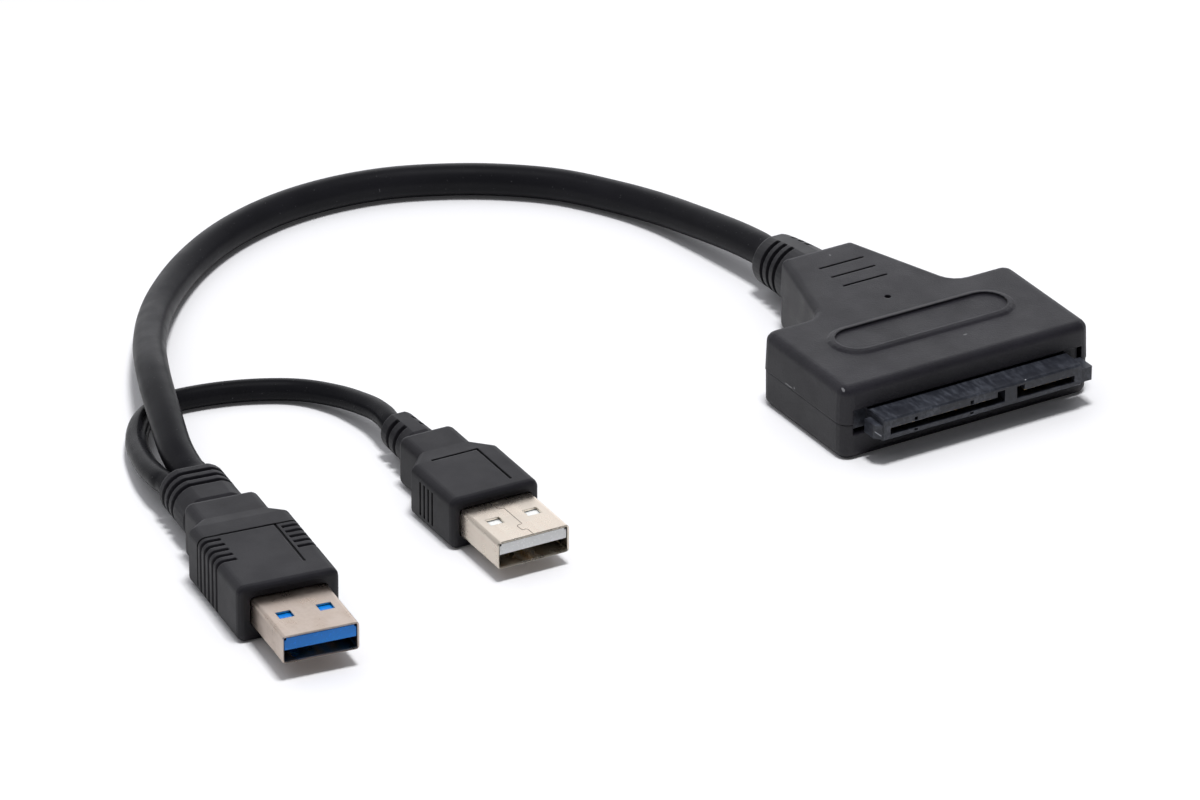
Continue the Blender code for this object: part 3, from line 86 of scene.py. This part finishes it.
# Line behind the blue plug's grips: the overmould's section where it lies, its inner end on top and
# its height over the underside, its front and rear edges back from the mouth, and its depth, in mm
GRIP_HALF_WIDTH, GRIP_HALF_HEIGHT, GRIP_MIDDLE, GRIP_CORNER = 8.0, 4.6, 4.63, 1.3
GRIP_INNER, GRIP_FOOT = 4.35, 1.4
GRIP_FRONT, GRIP_REAR = 28.72, 29.08
GRIP_SUNK, GRIP_PROUD = -0.05, 0.012
GRIP_ARC_STEPS = 6

# Marks seen in the photo: the centre and half sizes of each scuff or speck and of the painted
# highlight on the head's front left top corner, and the two ends and half width of the painted
# glint on the receptacle's left guide arm, in mm
HEAD_SCUFFS_AND_GLINT = [
    ((-22.6, 3.4, 6.35), (0.4, 1.1, 0.13)), ((-22.6, 2.0, 6.6), (0.4, 0.22, 0.34)),
    # Next line: a speck on the top, then a painted highlight on the head's front left top corner
    ((3.5, -5.4, 12.2), (0.45, 0.14, 0.3)), ((-21.8, -10.35, 11.8), (0.16, 0.5, 0.5)),
    ((0.1, 27.6, 12.2), (0.12, 0.2, 0.2))]
HEAD_SCUFF_AND_GLINT_COLOUR = (0.2, 0.2, 0.21)
RECEPTACLE_SPECK = ((7.8, -15.7, 7.95), (0.16, 0.14, 0.15))
ARM_GLINT = ((-18.79, -14.8, 5.75), (-18.13, -15.46, 5.19), 0.1)

# Insulation of the cord's six cores: red, black, green, white, blue and yellow
CORE_COLOURS = [
    (0.5, 0.02, 0.015), (0.015, 0.015, 0.016), (0.03, 0.32, 0.06), (0.62, 0.62, 0.6),
    (0.02, 0.09, 0.42), (0.62, 0.44, 0.03)]

# Room, in metres and watts
FLOOR_HALF = 4.0
LAMP_AT, LAMP_AIM, LAMP_SIDE, LAMP_WATTS = (-0.06, -0.13, 1.0), (-0.06, 0.0, 0.0), 0.2, 7.4


# Places


def row(x, y, z):
    """A point given in mm from the head's centre, in the row frame."""
    return Vector((x * MM, (y - ORIGIN_Y) * MM, z * MM))


def on_plug(at, yaw, across, back, height):
    """A point on a plug, from its distance across and back from the mouth, in mm."""
    turn = math.radians(yaw)
    return row(at[0] + across * math.cos(turn) - back * math.sin(turn),
               at[1] + across * math.sin(turn) + back * math.cos(turn), height)


# Shader building


def put(tree, kind, inputs, **fields):
    """A new shader node; an input is either a value or another node's socket."""
    made = tree.nodes.new(kind)
    for key, value in fields.items():
        setattr(made, key, value)
    for key, value in inputs.items():
        if isinstance(value, bpy.types.NodeSocket):
            tree.links.new(value, made.inputs[key])
        else:
            made.inputs[key].default_value = value
    return made


def object_space(tree, stretch=(1, 1, 1), turn=0.0):
    """The object's own coordinates, stretched along the axes and turned about the upright."""
    source = put(tree, "ShaderNodeTexCoord", {})
    return put(tree, "ShaderNodeMapping", {"Vector": source.outputs["Object"], "Scale": stretch,
                                           "Rotation": (0, 0, turn)}).outputs[0]


def noise(tree, place, scale, detail=3.0, roughness=0.55):
    return put(tree, "ShaderNodeTexNoise", {"Vector": place, "Scale": scale, "Detail": detail,
                                            "Roughness": roughness}).outputs[0]


def spread(tree, value, low, high, start=0.0, end=1.0):
    """The value from low to high, stretched to run from start to end and held there."""
    return put(tree, "ShaderNodeMapRange",
               {0: value, 1: low, 2: high, 3: start, 4: end}).outputs[0]


def patches(tree, place, scale, detail=3.0, low=0.3, high=0.7, start=0.0, end=1.0,
            roughness=0.55):
    """Noise whose middle values run from start to end."""
    return spread(tree, noise(tree, place, scale, detail, roughness), low, high, start, end)


def maths(tree, operation, a, b=0.0):
    return put(tree, "ShaderNodeMath", {0: a, 1: b}, operation=operation).outputs[0]


def vectors(tree, operation, a, b=None, output=0):
    inputs = {0: a} if b is None else {0: a, 1: b}
    return put(tree, "ShaderNodeVectorMath", inputs, operation=operation).outputs[output]


def mixed(tree, factor, a, b):
    a, b = [c if isinstance(c, bpy.types.NodeSocket) else (*c, 1.0) for c in (a, b)]
    return put(tree, "ShaderNodeMixRGB", {0: factor, 1: a, 2: b}).outputs[0]


def times(colour, factor, limit=math.inf):
    return [min(limit, c * factor) for c in colour]


def bumped(tree, height, depth, normal=None):
    """The surface's normal after a bump whose full depth is given in mm."""
    inputs = {"Height": height, "Distance": depth * MM, "Strength": 1.0}
    if normal is not None:
        inputs["Normal"] = normal
    return put(tree, "ShaderNodeBump", inputs).outputs[0]


def edge_mask(tree, radius):
    """White along the sharp edges of a piece, for rubbed wear on plastic and a painted highlight on
    metal, and the rounded normal.
    """
    rounded = put(tree, "ShaderNodeBevel", {"Radius": radius * MM}, samples=4).outputs[0]
    flat = put(tree, "ShaderNodeNewGeometry", {}).outputs["Normal"]
    facing = vectors(tree, "DOT_PRODUCT", rounded, flat, "Value")
    return spread(tree, maths(tree, "SUBTRACT", 1.0, facing), 0.015, 0.12), rounded


def crevice_shade(tree, distance, low=0.25, high=0.8, own=False):
    """Painted shade: white on open faces, falling to black in grooves, slots and the plugs' mouths.
    """
    open_sky = put(tree, "ShaderNodeAmbientOcclusion", {"Distance": distance * MM}, samples=8,
                   only_local=own).outputs["AO"]
    return spread(tree, open_sky, low, high)


def spot(tree, centre, reach):
    """A ragged mark round a point in mm; reach is its half size along each axis."""
    ragged = 0.35
    source = put(tree, "ShaderNodeTexCoord", {}).outputs["Object"]
    away = vectors(tree, "SUBTRACT", source, row(*centre))
    scaled = vectors(tree, "MULTIPLY", away, [1 / (size * MM) for size in reach])
    far = vectors(tree, "LENGTH", scaled, output="Value")
    wobble = patches(tree, source, 2500.0, 2.0, start=-ragged, end=ragged)
    return spread(tree, maths(tree, "ADD", far, wobble), 1.0, 0.7)


def glint_line(tree, start, end, half_width):
    """A thin straight painted glint from one point to another, in mm."""
    first = row(*start)
    along = row(*end) - first
    source = put(tree, "ShaderNodeTexCoord", {}).outputs["Object"]
    away = vectors(tree, "SUBTRACT", source, first)
    share = vectors(tree, "DOT_PRODUCT", away, along / along.length_squared, "Value")
    nearest = put(tree, "ShaderNodeVectorMath", {0: along, "Scale": spread(tree, share, 0.0, 1.0)},
                  operation="SCALE").outputs[0]
    gap = vectors(tree, "DISTANCE", away, nearest, "Value")
    return spread(tree, gap, half_width * MM, half_width * MM / 2)


def start_material(name):
    material = bpy.data.materials.new(name)
    material.use_nodes = True
    tree = material.node_tree
    shader = next(node for node in tree.nodes if node.type == "BSDF_PRINCIPLED")
    return material, tree, shader


def fill(tree, shader, colour, roughness, normal=None, **constants):
    """Links the shader's main inputs and sets its other inputs to plain values."""
    for key, value in (("Base Color", colour), ("Roughness", roughness), ("Normal", normal)):
        if value is not None:
            tree.links.new(value, shader.inputs[key])
    for key, value in constants.items():
        shader.inputs[key.replace("_", " ")].default_value = value


# Materials


def moulded(name, dark, light, roughness, specular=0.35, grain_scale=3600.0, grain_depth=0.06,
            edge=0.3, wear=0.5, marks=()):
    """Moulded plastic: fine spark-eroded grain with painted glints on its tips, cloudy tone, worn
    edges, single scuffs with painted highlights, and painted shade in its grooves.
    """
    material, tree, shader = start_material(name)
    place = object_space(tree)
    cloud = patches(tree, place, 70.0, 5.0, 0.35, 0.65, roughness=0.6)
    grain = noise(tree, place, grain_scale, 3.0, 0.65)
    grain_tip_glints = spread(tree, grain, 0.56, 0.8, 0.0, 0.35)
    colour = mixed(tree, cloud, dark, light)
    # The real grain, lightened on its tips as a painted glint
    colour = mixed(tree, grain_tip_glints, colour, times(light, 2.2))
    mask, rounded = edge_mask(tree, edge)
    rub = maths(tree, "MULTIPLY", mask, patches(tree, place, 420.0, 4.0, 0.42, 0.72, end=wear))
    colour = mixed(tree, rub, colour, times(light, 4.0))
    # Scuffs and specks, and on the head a painted highlight on its front left top corner
    for centre, reach in marks:
        colour = mixed(tree, spot(tree, centre, reach), colour, HEAD_SCUFF_AND_GLINT_COLOUR)
    # Painted shade: near black in grooves and crevices
    colour = mixed(tree, crevice_shade(tree, 0.6), times(dark, 0.1), colour)
    rough = patches(tree, place, 190.0, start=roughness - 0.05, end=roughness + 0.05)
    rough = maths(tree, "SUBTRACT", rough, maths(tree, "MULTIPLY", rub, 0.12))
    fill(tree, shader, colour, rough, bumped(tree, grain, grain_depth, rounded),
         Specular_IOR_Level=specular)
    return material


def drawn_metal(name, dark, light, roughness, turn=0.0, streak_scale=900.0, edge=0.15):
    """Plated sheet metal: faint rolling streaks, stains and softly rounded edges, with a painted
    highlight along the edges and painted shade inside the mouth.
    """
    material, tree, shader = start_material(name)
    place = object_space(tree)
    rolled = object_space(tree, (1.0, 0.06, 1.0), math.radians(turn))
    streaks = noise(tree, rolled, streak_scale, 4.0, 0.6)
    stain = noise(tree, place, 260.0, 5.0, 0.65)
    colour = mixed(tree, spread(tree, stain, 0.35, 0.68), dark, light)
    bright_streaks = spread(tree, streaks, 0.3, 0.75, 0.0, 0.35)
    colour = mixed(tree, bright_streaks, colour, times(light, 1.12, 1.0))
    mask, rounded = edge_mask(tree, edge)
    # Painted highlight: lighter along every sharp edge
    colour = mixed(tree, maths(tree, "MULTIPLY", mask, 0.6), colour, times(light, 1.15, 1.0))
    # Painted shade: the shell's inside and mouth near black
    unshaded_share = crevice_shade(tree, 6.0, 0.2, 0.6, own=True)
    colour = mixed(tree, unshaded_share, (0.012, 0.009, 0.008), colour)
    rough = spread(tree, stain, 0.3, 0.7, roughness - 0.06, roughness + 0.08)
    dents = noise(tree, place, 130.0, 2.0)
    height = maths(tree, "ADD", maths(tree, "MULTIPLY", streaks, 0.06), dents)
    fill(tree, shader, colour, rough, bumped(tree, height, 0.01, rounded), Metallic=1.0)
    return material


def cord_jacket(name, dark, light, roughness, specular):
    """Extruded jacket: long soft ripples along the cord, dust specks and a satin skin."""
    material, tree, shader = start_material(name)
    place = object_space(tree)
    fine = noise(tree, place, 1900.0, 4.0, 0.6)
    colour = mixed(tree, patches(tree, place, 55.0, 4.0, 0.35, 0.65), dark, light)
    dust = patches(tree, place, 2600.0, 1.0, 0.74, 0.78, end=0.6)
    colour = mixed(tree, dust, colour, (0.09, 0.09, 0.095))
    rough = patches(tree, place, 240.0, start=roughness - 0.05, end=roughness + 0.07)
    soft = maths(tree, "MULTIPLY", noise(tree, place, 120.0, 2.0), 6.0)
    ripple = maths(tree, "ADD", soft, fine)
    fill(tree, shader, colour, rough, bumped(tree, ripple, 0.009), Specular_IOR_Level=specular)
    return material


def receptacle_plastic():
    """Dark blue-grey satin plastic, clouded and combed by the drives pushed on to it, with a
    painted glint on its left guide arm and painted shade in its slots.
    """
    material, tree, shader = start_material("receptacle_plastic")
    place = object_space(tree)
    combed = object_space(tree, (1.0, 0.22, 1.0), math.radians(-24))
    cloud = noise(tree, place, 230.0, 5.0, 0.65)
    comb = noise(tree, combed, 1500.0, 5.0, 0.7)
    colour = mixed(tree, spread(tree, cloud, 0.3, 0.7), (0.017, 0.0185, 0.025),
                   (0.030, 0.033, 0.043))
    haze = maths(tree, "MULTIPLY", spread(tree, comb, 0.44, 0.62),
                 spread(tree, cloud, 0.4, 0.6, 0.15, 1.0))
    colour = mixed(tree, haze, colour, (0.07, 0.076, 0.094))
    mask, rounded = edge_mask(tree, 0.18)
    rub = maths(tree, "MULTIPLY", mask, patches(tree, place, 700.0, 4.0, 0.38, 0.66, end=0.8))
    colour = mixed(tree, rub, colour, (0.11, 0.118, 0.14))
    colour = mixed(tree, spot(tree, *RECEPTACLE_SPECK), colour, (0.62, 0.63, 0.66))
    # Painted glint along the left guide arm's chamfer
    colour = mixed(tree, glint_line(tree, *ARM_GLINT), colour, (0.30, 0.31, 0.34))
    # Painted shade: near black in the slots and crevices
    colour = mixed(tree, crevice_shade(tree, 0.4, 0.1, 0.45), (0.002, 0.002, 0.003), colour)
    rough = spread(tree, comb, 0.3, 0.75, 0.30, 0.48)
    fill(tree, shader, colour, rough, bumped(tree, comb, 0.01, rounded), Specular_IOR_Level=0.5)
    return material


def circuit_mask():
    """Green solder mask over copper tracks, with fine glass weave under it."""
    material, tree, shader = start_material("circuit_board")
    place = object_space(tree)
    cells = put(tree, "ShaderNodeTexVoronoi", {"Vector": place, "Scale": 900.0}, feature="F1",
                distance="CHEBYCHEV").outputs["Distance"]
    tracks = spread(tree, cells, 0.44, 0.5)
    colour = mixed(tree, tracks, (0.012, 0.075, 0.03), (0.02, 0.16, 0.06))
    weave = put(tree, "ShaderNodeTexWave", {"Vector": place, "Scale": 700.0,
                                            "Distortion": 0.4}).outputs[0]
    colour = mixed(tree, maths(tree, "MULTIPLY", weave, 0.15), colour, (0.05, 0.2, 0.09))
    rough = patches(tree, place, 400.0, start=0.28, end=0.42)
    fill(tree, shader, colour, rough, bumped(tree, tracks, 0.02))
    return material


def seam_shadow():
    """Dull, darkened metal inside the rolled shell's joint."""
    material, tree, shader = start_material("seam_shadow")
    place = object_space(tree)
    colour = mixed(tree, patches(tree, place, 1500.0, low=0.35, high=0.65), (0.16, 0.12, 0.10),
                   (0.30, 0.24, 0.20))
    fill(tree, shader, colour, patches(tree, place, 2600.0, start=0.4, end=0.6), Metallic=0.6)
    return material


def groove_shadow():
    """Near black, for a groove too fine to be cut."""
    material, tree, shader = start_material("groove_shadow")
    place = object_space(tree)
    colour = mixed(tree, noise(tree, place, 2500.0), (0.002, 0.002, 0.002), (0.006, 0.006, 0.007))
    fill(tree, shader, colour, patches(tree, place, 900.0, start=0.75, end=0.95),
         Specular_IOR_Level=0.05)
    return material


def table_white():
    """Pale table top that stays white to the camera and is greyer where metal mirrors it."""
    material, tree, shader = start_material("table_white")
    place = object_space(tree)
    path = put(tree, "ShaderNodeLightPath", {})
    colour = mixed(tree, patches(tree, place, 9.0, 4.0, 0.35, 0.65), (0.90, 0.90, 0.925),
                   (0.925, 0.925, 0.945))
    colour = mixed(tree, path.outputs["Is Glossy Ray"], colour, (0.6, 0.6, 0.61))
    glow = maths(tree, "MULTIPLY", path.outputs["Is Camera Ray"], 0.03)
    fill(tree, shader, colour, None, Roughness=0.6, Specular_IOR_Level=0.1,
         Emission_Color=(0.96, 0.96, 1.0, 1.0))
    tree.links.new(glow, shader.inputs["Emission Strength"])
    return material


def make_materials():
    """One finish for each kind of piece, the cord's cores included."""
    smooth = {"grain_scale": 3000.0, "grain_depth": 0.008, "edge": 0.1}
    finishes = {
        "shell": moulded("head_plastic", (0.0112, 0.0106, 0.0142), (0.0175, 0.0166, 0.0220),
                         0.47, 0.5, marks=HEAD_SCUFFS_AND_GLINT),
        "rubber": moulded("relief_rubber", (0.010, 0.010, 0.012), (0.015, 0.0148, 0.018),
                          0.42, 0.36, 3300.0, 0.012, 0.2, 0.3),
        "mould": moulded("plug_overmould", (0.011, 0.0106, 0.0134), (0.017, 0.0164, 0.0205),
                         0.5, 0.4, 3800.0, 0.014, 0.3, 0.45),
        "receptacle": receptacle_plastic(),
        "blue": moulded("blue_insulator", (0.002, 0.19, 0.66), (0.004, 0.24, 0.80),
                        0.38, 0.4, wear=0.1, **smooth),
        "white": moulded("white_insulator", (0.84, 0.85, 0.84), (0.92, 0.93, 0.92),
                         0.38, 0.4, wear=0.05, **smooth),
        "shell3": drawn_metal("nickel_shell_blue_plug", (0.58, 0.47, 0.39), (0.80, 0.69, 0.61),
                              0.3, -USB3_YAW),
        "shell2": drawn_metal("nickel_shell_white_plug", (0.86, 0.74, 0.63), (0.98, 0.87, 0.76),
                              0.28, -USB2_YAW),
        "gold": drawn_metal("gold_contact", (0.75, 0.50, 0.20), (0.90, 0.66, 0.32),
                            0.25, streak_scale=2500.0, edge=0.05),
        "board": circuit_mask(),
        "chip": moulded("chip_epoxy", (0.012, 0.012, 0.012), (0.022, 0.022, 0.022),
                        0.45, grain_scale=5200.0),
        "can": drawn_metal("crystal_can", (0.55, 0.56, 0.58), (0.75, 0.76, 0.78),
                           0.3, streak_scale=1500.0),
        "lamp": moulded("lamp_lens", (0.02, 0.02, 0.022), (0.035, 0.035, 0.04),
                        0.3, grain_scale=2000.0, grain_depth=0.006),
        "main": cord_jacket("thick_cord_jacket", (0.010, 0.010, 0.012), (0.015, 0.0148, 0.0178),
                            0.34, 0.12),
        "power": cord_jacket("thin_cord_jacket", (0.009, 0.009, 0.0105), (0.012, 0.012, 0.0145),
                             0.26, 0.08),
    }
    for number, colour in enumerate(CORE_COLOURS, 1):
        finishes[f"core_{number}"] = moulded(f"core_{number}_jacket", times(colour, 0.75), colour,
                                             0.4, wear=0.1, **smooth)
    return finishes


def dress_nodes(finishes):
    """Gives each CAD node its finish, by the start of its name."""
    rules = [
        ("head_strain_relief", "rubber"), ("head_", "shell"),
        ("sata_receptacle_body", "receptacle"), ("sata_", "gold"),
        ("circuit_board", "board"), ("bridge_chip", "chip"), ("regulator_chip", "chip"),
        ("crystal", "can"), ("status_lamp", "lamp"), ("main_cord", "main"),
        ("power_cord", "power"), ("usb3_overmould", "mould"), ("usb2_overmould", "mould"),
        ("usb3_shell", "shell3"), ("usb2_shell", "shell2"), ("usb3_insulator", "blue"),
        ("usb2_insulator", "white"), ("usb3_", "gold"), ("usb2_", "gold")]
    rules += [(f"cord_{key}", key) for key in finishes if key.startswith("core_")]
    for name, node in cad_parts.items():
        key = next(finish for start, finish in rules if name.startswith(start))
        for slot in node.material_slots:
            slot.material = finishes[key]


# Pieces


def smooth_line(points, steps):
    """A Catmull-Rom line through the points, with a number of steps from each to the next."""
    line = []
    padded = [2 * points[0] - points[1]] + points + [2 * points[-1] - points[-2]]
    for a, b, c, d in zip(padded, padded[1:], padded[2:], padded[3:]):
        for step in range(steps):
            t = step / steps
            line.append(0.5 * (2 * b + (c - a) * t + (2 * a - 5 * b + 4 * c - d) * t * t
                               + (3 * b - a - 3 * c + d) * t ** 3))
    return line + [points[-1]]


def add_tube(name, points, radius, material, roundness):
    """A round tube with closed ends along a line of points; the radius is in mm."""
    data = bpy.data.curves.new(name, "CURVE")
    data.dimensions = "3D"
    data.bevel_depth = radius * MM
    data.bevel_resolution = roundness
    data.use_fill_caps = True
    spline = data.splines.new("POLY")
    spline.points.add(len(points) - 1)
    for slot, point in zip(spline.points, points):
        slot.co = (*point, 1.0)
    spline.use_smooth = True
    data.materials.append(material)
    tube = bpy.data.objects.new(name, data)
    bpy.context.collection.objects.link(tube)
    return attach(tube, "root")


def add_cord(name, node, ends, route, diameter, material):
    """One smooth cord in place of a CAD cord."""
    points = [row(*point) for point in ends[0] + route + ends[1]]
    line = smooth_line(points, CORD_STEPS)
    cord = add_tube(name, line, diameter / 2, material, CORD_ROUNDNESS)
    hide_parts(node)


def add_cords(finishes):
    add_cord("thin_cord", "power_cord", POWER_ENDS, POWER_ROUTE, POWER_DIAMETER,
             finishes["power"])
    add_cord("thick_cord", "main_cord", MAIN_ENDS, MAIN_ROUTE, MAIN_DIAMETER,
             finishes["main"])


def add_strip(name, rings, material):
    """A closed strip whose corners come in rings of four, with the given finish."""
    faces = [(a + k, a + (k + 1) % 4, a + 4 + (k + 1) % 4, a + 4 + k)
             for a in range(0, 4 * (len(rings) - 1), 4) for k in range(4)]
    faces += [(3, 2, 1, 0), tuple(4 * (len(rings) - 1) + k for k in range(4))]
    data = bpy.data.meshes.new(name)
    data.from_pydata([tuple(corner) for ring in rings for corner in ring], [], faces)
    data.materials.append(material)
    data.validate()
    piece = bpy.data.objects.new(name, data)
    bpy.context.collection.objects.link(piece)
    work = bmesh.new()
    work.from_mesh(data)
    bmesh.ops.recalc_face_normals(work, faces=work.faces)
    work.to_mesh(data)
    work.free()
    for face in data.polygons:
        face.use_smooth = False
    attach(piece, "root")


def flat_rings(points, width, thickness):
    """Rings for a thin strip along a line of points that lies flat, in mm."""
    rise = Vector((0, 0, thickness * MM))
    rings = []
    for index, point in enumerate(points):
        ahead = points[min(index + 1, len(points) - 1)] - points[max(index - 1, 0)]
        side = Vector((-ahead.y, ahead.x, 0.0)).normalized() * width * MM / 2
        rings.append([point + side, point - side, point - side + rise, point + side + rise])
    return rings


def add_seam(tab_metal):
    """The dovetailed joint in the white plug's rolled shell, and the bright tab at its root."""
    seam = [on_plug(USB2_AT, USB2_YAW, x, y, USB2_TOP - SEAM_SUNK) for x, y in SEAM_PATH]
    add_strip("usb2_shell_seam", flat_rings(seam, SEAM_WIDTH, SEAM_THICKNESS), seam_shadow())
    tab = [on_plug(USB2_AT, USB2_YAW, x, y, USB2_TOP + TAB_PROUD) for x, y in TAB_PATH]
    add_tube("usb2_shell_tab", smooth_line(tab, TAB_STEPS), TAB_RADIUS, tab_metal,
                     TAB_ROUNDNESS)


def grip_outline():
    """Points round the overmould's right side, from the top down, each with its way out."""
    outline = [(GRIP_INNER, GRIP_HALF_HEIGHT, 0, 1),
               (GRIP_HALF_WIDTH - GRIP_CORNER, GRIP_HALF_HEIGHT, 0, 1)]
    for step in range(1, GRIP_ARC_STEPS + 1):
        turn = math.radians(90 - 90 * step / GRIP_ARC_STEPS)
        out_x, out_z = math.cos(turn), math.sin(turn)
        outline.append((GRIP_HALF_WIDTH + GRIP_CORNER * (out_x - 1),
                        GRIP_HALF_HEIGHT + GRIP_CORNER * (out_z - 1), out_x, out_z))
    return outline + [(GRIP_HALF_WIDTH, GRIP_FOOT - GRIP_HALF_HEIGHT, 1, 0)]


def add_grip_lines():
    """The dark line behind the blue plug's grip grooves, down each side of it."""
    material = groove_shadow()
    corners = [(GRIP_FRONT, GRIP_SUNK), (GRIP_FRONT, GRIP_PROUD), (GRIP_REAR, GRIP_PROUD),
               (GRIP_REAR, GRIP_SUNK)]
    for name, side in (("left", -1), ("right", 1)):
        rings = [[on_plug(USB3_AT, USB3_YAW, side * (x + out_x * rise), back,
                          GRIP_MIDDLE + z + out_z * rise) for back, rise in corners]
                 for x, z, out_x, out_z in grip_outline()]
        add_strip(f"usb3_{name}_grip_line", rings, material)


# Room


def add_floor():
    data = bpy.data.meshes.new("floor")
    corners = [(-1, -1), (1, -1), (1, 1), (-1, 1)]
    data.from_pydata([(x * FLOOR_HALF, y * FLOOR_HALF, 0) for x, y in corners], [], [(0, 1, 2, 3)])
    data.materials.append(table_white())
    floor = bpy.data.objects.new("floor", data)
    bpy.context.collection.objects.link(floor)


def add_lamp():
    """The one lamp, overhead; neither the camera nor a shiny face sees it."""
    data = bpy.data.lights.new("overhead", "AREA")
    data.shape = "RECTANGLE"
    data.size = data.size_y = LAMP_SIDE
    data.energy = LAMP_WATTS
    lamp = bpy.data.objects.new("overhead", data)
    bpy.context.collection.objects.link(lamp)
    lamp.location = LAMP_AT
    lamp.rotation_mode = "QUATERNION"
    lamp.rotation_quaternion = (Vector(LAMP_AIM) - Vector(LAMP_AT)).to_track_quat("-Z", "Y")
    lamp.visible_camera = False
    lamp.visible_glossy = False


def add_world():
    """Soft light from above and behind, a card behind that shiny faces mirror, and plain white
    where the camera sees it."""
    world = bpy.data.worlds.new("studio")
    bpy.context.scene.world = world
    world.use_nodes = True
    tree = world.node_tree
    tree.nodes.clear()
    way = put(tree, "ShaderNodeTexCoord", {}).outputs["Generated"]
    x, y, z = put(tree, "ShaderNodeSeparateXYZ", {0: way}).outputs
    path = put(tree, "ShaderNodeLightPath", {})
    tilt = maths(tree, "ADD", maths(tree, "MULTIPLY", y, 0.45), maths(tree, "MULTIPLY", z, 0.89))
    soft = spread(tree, tilt, 0.35, 1.0, 0.02, 1.0)
    behind = spread(tree, y, -0.2, 0.7, 0.08, 1.2)
    low = spread(tree, z, 0.45, 0.75, 1.0, 0.12)
    right = spread(tree, x, -0.7, 0.25, 0.25, 1.0)
    overhead = spread(tree, z, 0.93, 0.985, 0.0, 1.6)
    card = maths(tree, "MULTIPLY", behind, maths(tree, "MULTIPLY", low, right))
    mirrored = maths(tree, "ADD", card, overhead)
    tone = put(tree, "ShaderNodeMix",
               {0: path.outputs["Is Glossy Ray"], 2: soft, 3: mirrored}).outputs[0]
    studio = put(tree, "ShaderNodeBackground", {"Color": (0.97, 0.975, 1.0, 1), "Strength": tone})
    seen = put(tree, "ShaderNodeBackground", {"Color": (1, 1, 1, 1), "Strength": 1.0})
    both = put(tree, "ShaderNodeMixShader", {0: path.outputs["Is Camera Ray"],
                                             1: studio.outputs[0], 2: seen.outputs[0]})
    put(tree, "ShaderNodeOutputWorld", {"Surface": both.outputs[0]})


def add_camera():
    data = bpy.data.cameras.new("camera")
    data.lens = LENS
    data.sensor_width = SENSOR_WIDTH
    data.clip_end = CAMERA_REACH
    camera = bpy.data.objects.new("camera", data)
    bpy.context.collection.objects.link(camera)
    right = CAMERA_RIGHT.normalized()
    up = (CAMERA_UP - right * CAMERA_UP.dot(right)).normalized()
    back = right.cross(up)
    camera.matrix_world = Matrix((
        (right.x, up.x, back.x, CAMERA_AT.x), (right.y, up.y, back.y, CAMERA_AT.y),
        (right.z, up.z, back.z, CAMERA_AT.z), (0, 0, 0, 1)))
    bpy.context.scene.camera = camera


def set_view():
    settings = bpy.context.scene.view_settings
    settings.view_transform = "Standard"
    settings.look = "None"
    settings.exposure = 0.0
    settings.gamma = 1.0


add_camera()
finishes = make_materials()
add_cords(finishes)
dress_nodes(finishes)
add_seam(finishes["shell2"])
add_grip_lines()
add_floor()
add_world()
add_lamp()
set_view()
